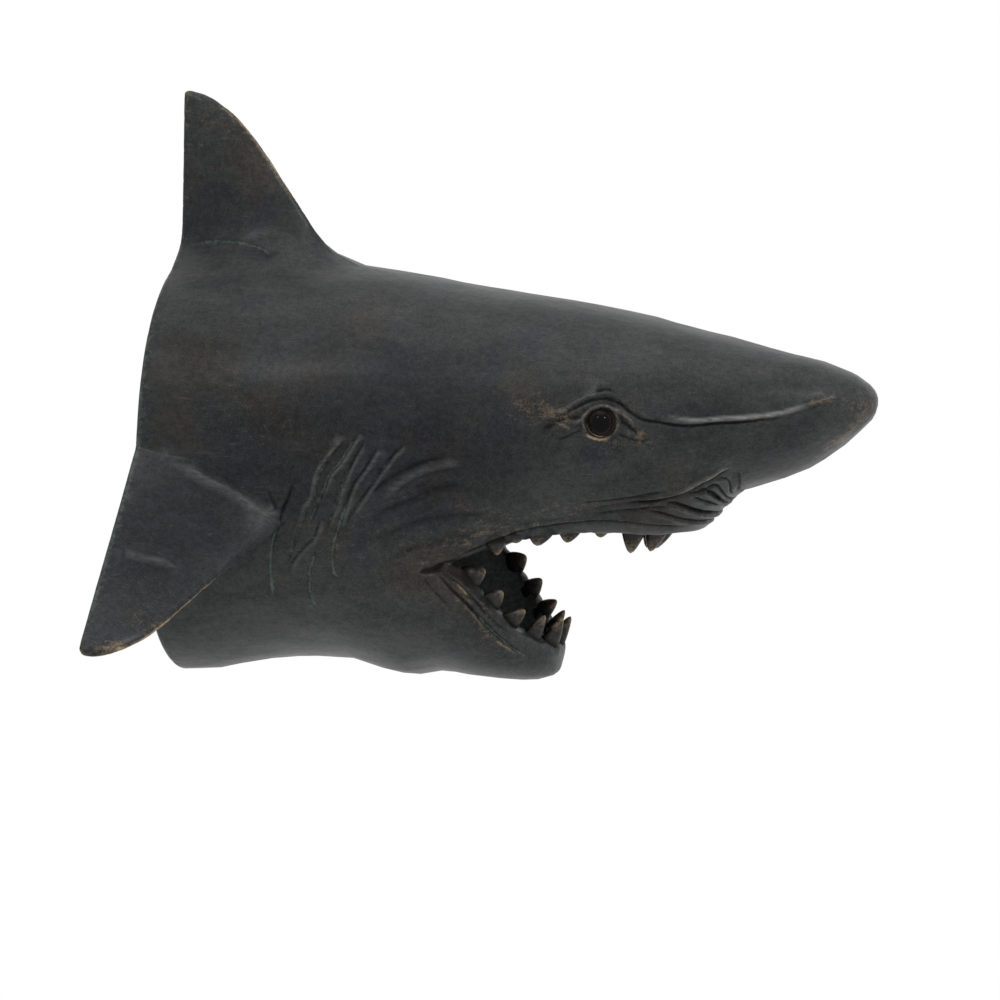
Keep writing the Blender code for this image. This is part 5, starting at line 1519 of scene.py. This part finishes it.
tooth_tree = bpy.data.node_groups.new("set_teeth", "GeometryNodeTree")
tree = tooth_tree
for name, kind, value in (
    ("Feet", "NodeSocketGeometry", None),
    ("Sides", "NodeSocketInt", 24),
    ("Root", "NodeSocketFloat", 0.40),
    ("Bend", "NodeSocketFloat", 0.06),
    ("Enamel", "NodeSocketMaterial", None),
):
    socket = tree.interface.new_socket(name, in_out="INPUT", socket_type=kind)
    if value is not None:
        socket.default_value = value
tree.interface.new_socket("Teeth", in_out="OUTPUT", socket_type="NodeSocketGeometry")
given = add_node(tree, "NodeGroupInput").outputs
blank = add_node(
    tree,
    "GeometryNodeMeshCylinder",
    {
        "Vertices": given["Sides"],
        "Side Segments": 18,
        "Radius": 0.5,
        "Depth": maths(tree, "ADD", 1.0, given["Root"]),
    },
    fill_type="TRIANGLE_FAN",
)
lift = add_node(
    tree, "ShaderNodeCombineXYZ", {2: scaled(tree, maths(tree, "SUBTRACT", 1.0, given["Root"]), 0.5)}
)
lifted = add_node(
    tree, "GeometryNodeTransform", {"Geometry": blank.outputs["Mesh"], "Translation": lift.outputs[0]}
)
parts = add_node(
    tree, "ShaderNodeSeparateXYZ", {0: add_node(tree, "GeometryNodeInputPosition").outputs[0]}
).outputs
profile = add_node(tree, "ShaderNodeFloatCurve", {"Value": parts[2]})
curve = profile.mapping.curves[0]
for share, size in TOOTH_PROFILE:
    curve.points.new(share, size)
curve.points[0].location = (0.0, 1.0)
curve.points[len(curve.points) - 1].location = (1.0, 0.0)
profile.mapping.update()
narrowed = scaled(tree, parts[0], profile.outputs[0])
squared = scaled(tree, parts[2], parts[2])
bent = added(tree, scaled(tree, parts[1], profile.outputs[0]), given["Bend"], squared)
placed = add_node(tree, "ShaderNodeCombineXYZ", {0: narrowed, 1: bent, 2: parts[2]})
shaped = add_node(
    tree, "GeometryNodeSetPosition", {"Geometry": lifted.outputs[0], "Position": placed.outputs[0]}
)
marked = shaped.outputs[0]
for name, low, high in (("worn", 0.00, 1.12), ("hollow", 0.34, -0.05)):
    marked = add_node(
        tree,
        "GeometryNodeStoreNamedAttribute",
        {"Geometry": marked, "Name": name, "Value": eased(tree, parts[2], low, high)},
        data_type="FLOAT",
        domain="POINT",
    ).outputs[0]
ways = {}
for name in ("up", "along", "size"):
    stored = add_node(tree, "GeometryNodeInputNamedAttribute", {"Name": name}, data_type="FLOAT_VECTOR")
    ways[name] = stored.outputs[0]
turned = add_node(
    tree,
    "FunctionNodeAxesToRotation",
    {"Primary Axis": ways["up"], "Secondary Axis": ways["along"]},
    primary_axis="Z",
    secondary_axis="X",
)
planted = add_node(
    tree,
    "GeometryNodeInstanceOnPoints",
    {"Points": given["Feet"], "Instance": marked, "Rotation": turned.outputs[0], "Scale": ways["size"]},
)
real = add_node(tree, "GeometryNodeRealizeInstances", {0: planted.outputs[0]})
smooth = add_node(tree, "GeometryNodeSetShadeSmooth", {0: real.outputs[0]})
finished = add_node(tree, "GeometryNodeSetMaterial", {0: smooth.outputs[0], "Material": given["Enamel"]})
add_node(tree, "NodeGroupOutput", {0: finished.outputs[0]})

teeth = add_object("teeth", sockets)
setting = teeth.modifiers.new("Set Teeth", "NODES")
setting.node_group = tooth_tree
inputs = {item.name: item.identifier for item in tooth_tree.interface.items_tree if item.in_out == "INPUT"}
setting[inputs["Enamel"]] = patinated("bronzed_teeth", 0.00035, Brushing=0.2, Slate=TOOTH_PATINA)
teeth.data = baked(teeth)
teeth.modifiers.clear()
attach(teeth, "root")
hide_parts("shark_head")


# The eyes. Black glass cabochons, fire-polished, glued into a cup on each side. A dark brown ring under
# the surface rims the black, and the patina runs over the glass's edge, rubbed to gold low at the back.

EYE_SIDES = 64
EYE_RINGS = 20
GILT_WAY = np.array((-0.60, 0.0, -0.80))
EYE_BLACK = (0.0018, 0.0017, 0.0017, 1)
EYE_BROWN = (0.020, 0.013, 0.009, 1)
LID_PATINA = (0.024, 0.021, 0.018, 1)
LID_GILT = (0.300, 0.235, 0.150, 1)

eye_glass = bpy.data.materials.new("black_eye_glass")
eye_glass.use_nodes = True
tree = eye_glass.node_tree
shader = tree.nodes["Principled BSDF"]
ring = add_node(tree, "ShaderNodeAttribute", attribute_name="ring").outputs["Fac"]
flecks = noise(tree, add_node(tree, "ShaderNodeTexCoord").outputs["Object"], 1400, 3)
rim = eased(tree, ring, 0.40, 0.66)
colour = blended(tree, scaled(tree, rim, eased(tree, flecks, 0.25, 0.75)), EYE_BLACK, EYE_BROWN)
painted = eased(tree, ring, 0.70, 0.77)
gilt = add_node(tree, "ShaderNodeAttribute", attribute_name="gilt").outputs["Fac"]
gilt = eased(tree, swayed(tree, gilt, flecks, 0.5, 0.9), 0.30, 0.75)
paint = blended(tree, gilt, LID_PATINA, LID_GILT)
tree.links.new(blended(tree, painted, colour, paint), shader.inputs["Base Color"])
gloss = added(tree, 0.04, flecks, 0.03)
tree.links.new(added(tree, gloss, painted, 0.50), shader.inputs["Roughness"])
shader.inputs["Specular IOR Level"].default_value = 0.075

for node_name, side in (("right_eye", -1), ("left_eye", 1)):
    points = places_of(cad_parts[node_name].data)
    points = np.unique(np.round(points, 6), axis=0)
    middle = points.mean(axis=0)
    values, ways = np.linalg.eigh(np.cov((points - middle).T))
    odd = 0 if values[1] - values[0] > values[2] - values[1] else 2
    axis = Vector(ways[:, odd])
    if axis.y * side < 0:
        axis = -axis
    ahead = (points - middle) @ np.array(axis)
    radius = np.linalg.norm((points - middle) - np.outer(ahead, np.array(axis)), axis=1).max()
    front, back = Vector(middle) + axis * ahead.max(), Vector(middle) + axis * ahead.min()
    ball = front - axis * radius
    wide = axis.orthogonal().normalized()
    high = axis.cross(wide)
    rings, shares = [[front]], [0.0]
    for i in range(1, EYE_RINGS + 1):
        turn = math.pi / 2 * i / EYE_RINGS
        rings.append((math.sin(turn) * radius, ball + axis * (math.cos(turn) * radius)))
        shares.append(i / EYE_RINGS)
    rings.append((radius, back))
    shares.append(1.0)
    made = [rings[0]] + [
        [
            at + (wide * math.cos(turn) + high * math.sin(turn)) * reach
            for turn in (math.tau * i / EYE_SIDES for i in range(EYE_SIDES))
        ]
        for reach, at in rings[1:]
    ]
    mesh = mesh_from_rings(f"{node_name}_glass", made)
    ring_values = [shares[0]] + [share for share in shares[1:] for _ in range(EYE_SIDES)]
    mesh.attributes.new("ring", "FLOAT", "POINT").data.foreach_set("value", ring_values)
    ways = places_of(mesh) - middle
    low_back = ways @ GILT_WAY / np.maximum(np.hypot(ways[:, 0], ways[:, 2]), 1e-6)
    gilt = stepped(low_back, 0.45, 0.90) * stepped(np.array(ring_values), 0.66, 0.80)
    mesh.attributes.new("gilt", "FLOAT", "POINT").data.foreach_set("value", gilt.astype(np.float32))
    mesh.materials.append(eye_glass)
    mesh.shade_smooth()
    mesh.set_sharp_from_angle(angle=SHARP_ANGLE)
    glass = add_object(f"{node_name}_glass", mesh)
    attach(glass, "root")
    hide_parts(node_name)
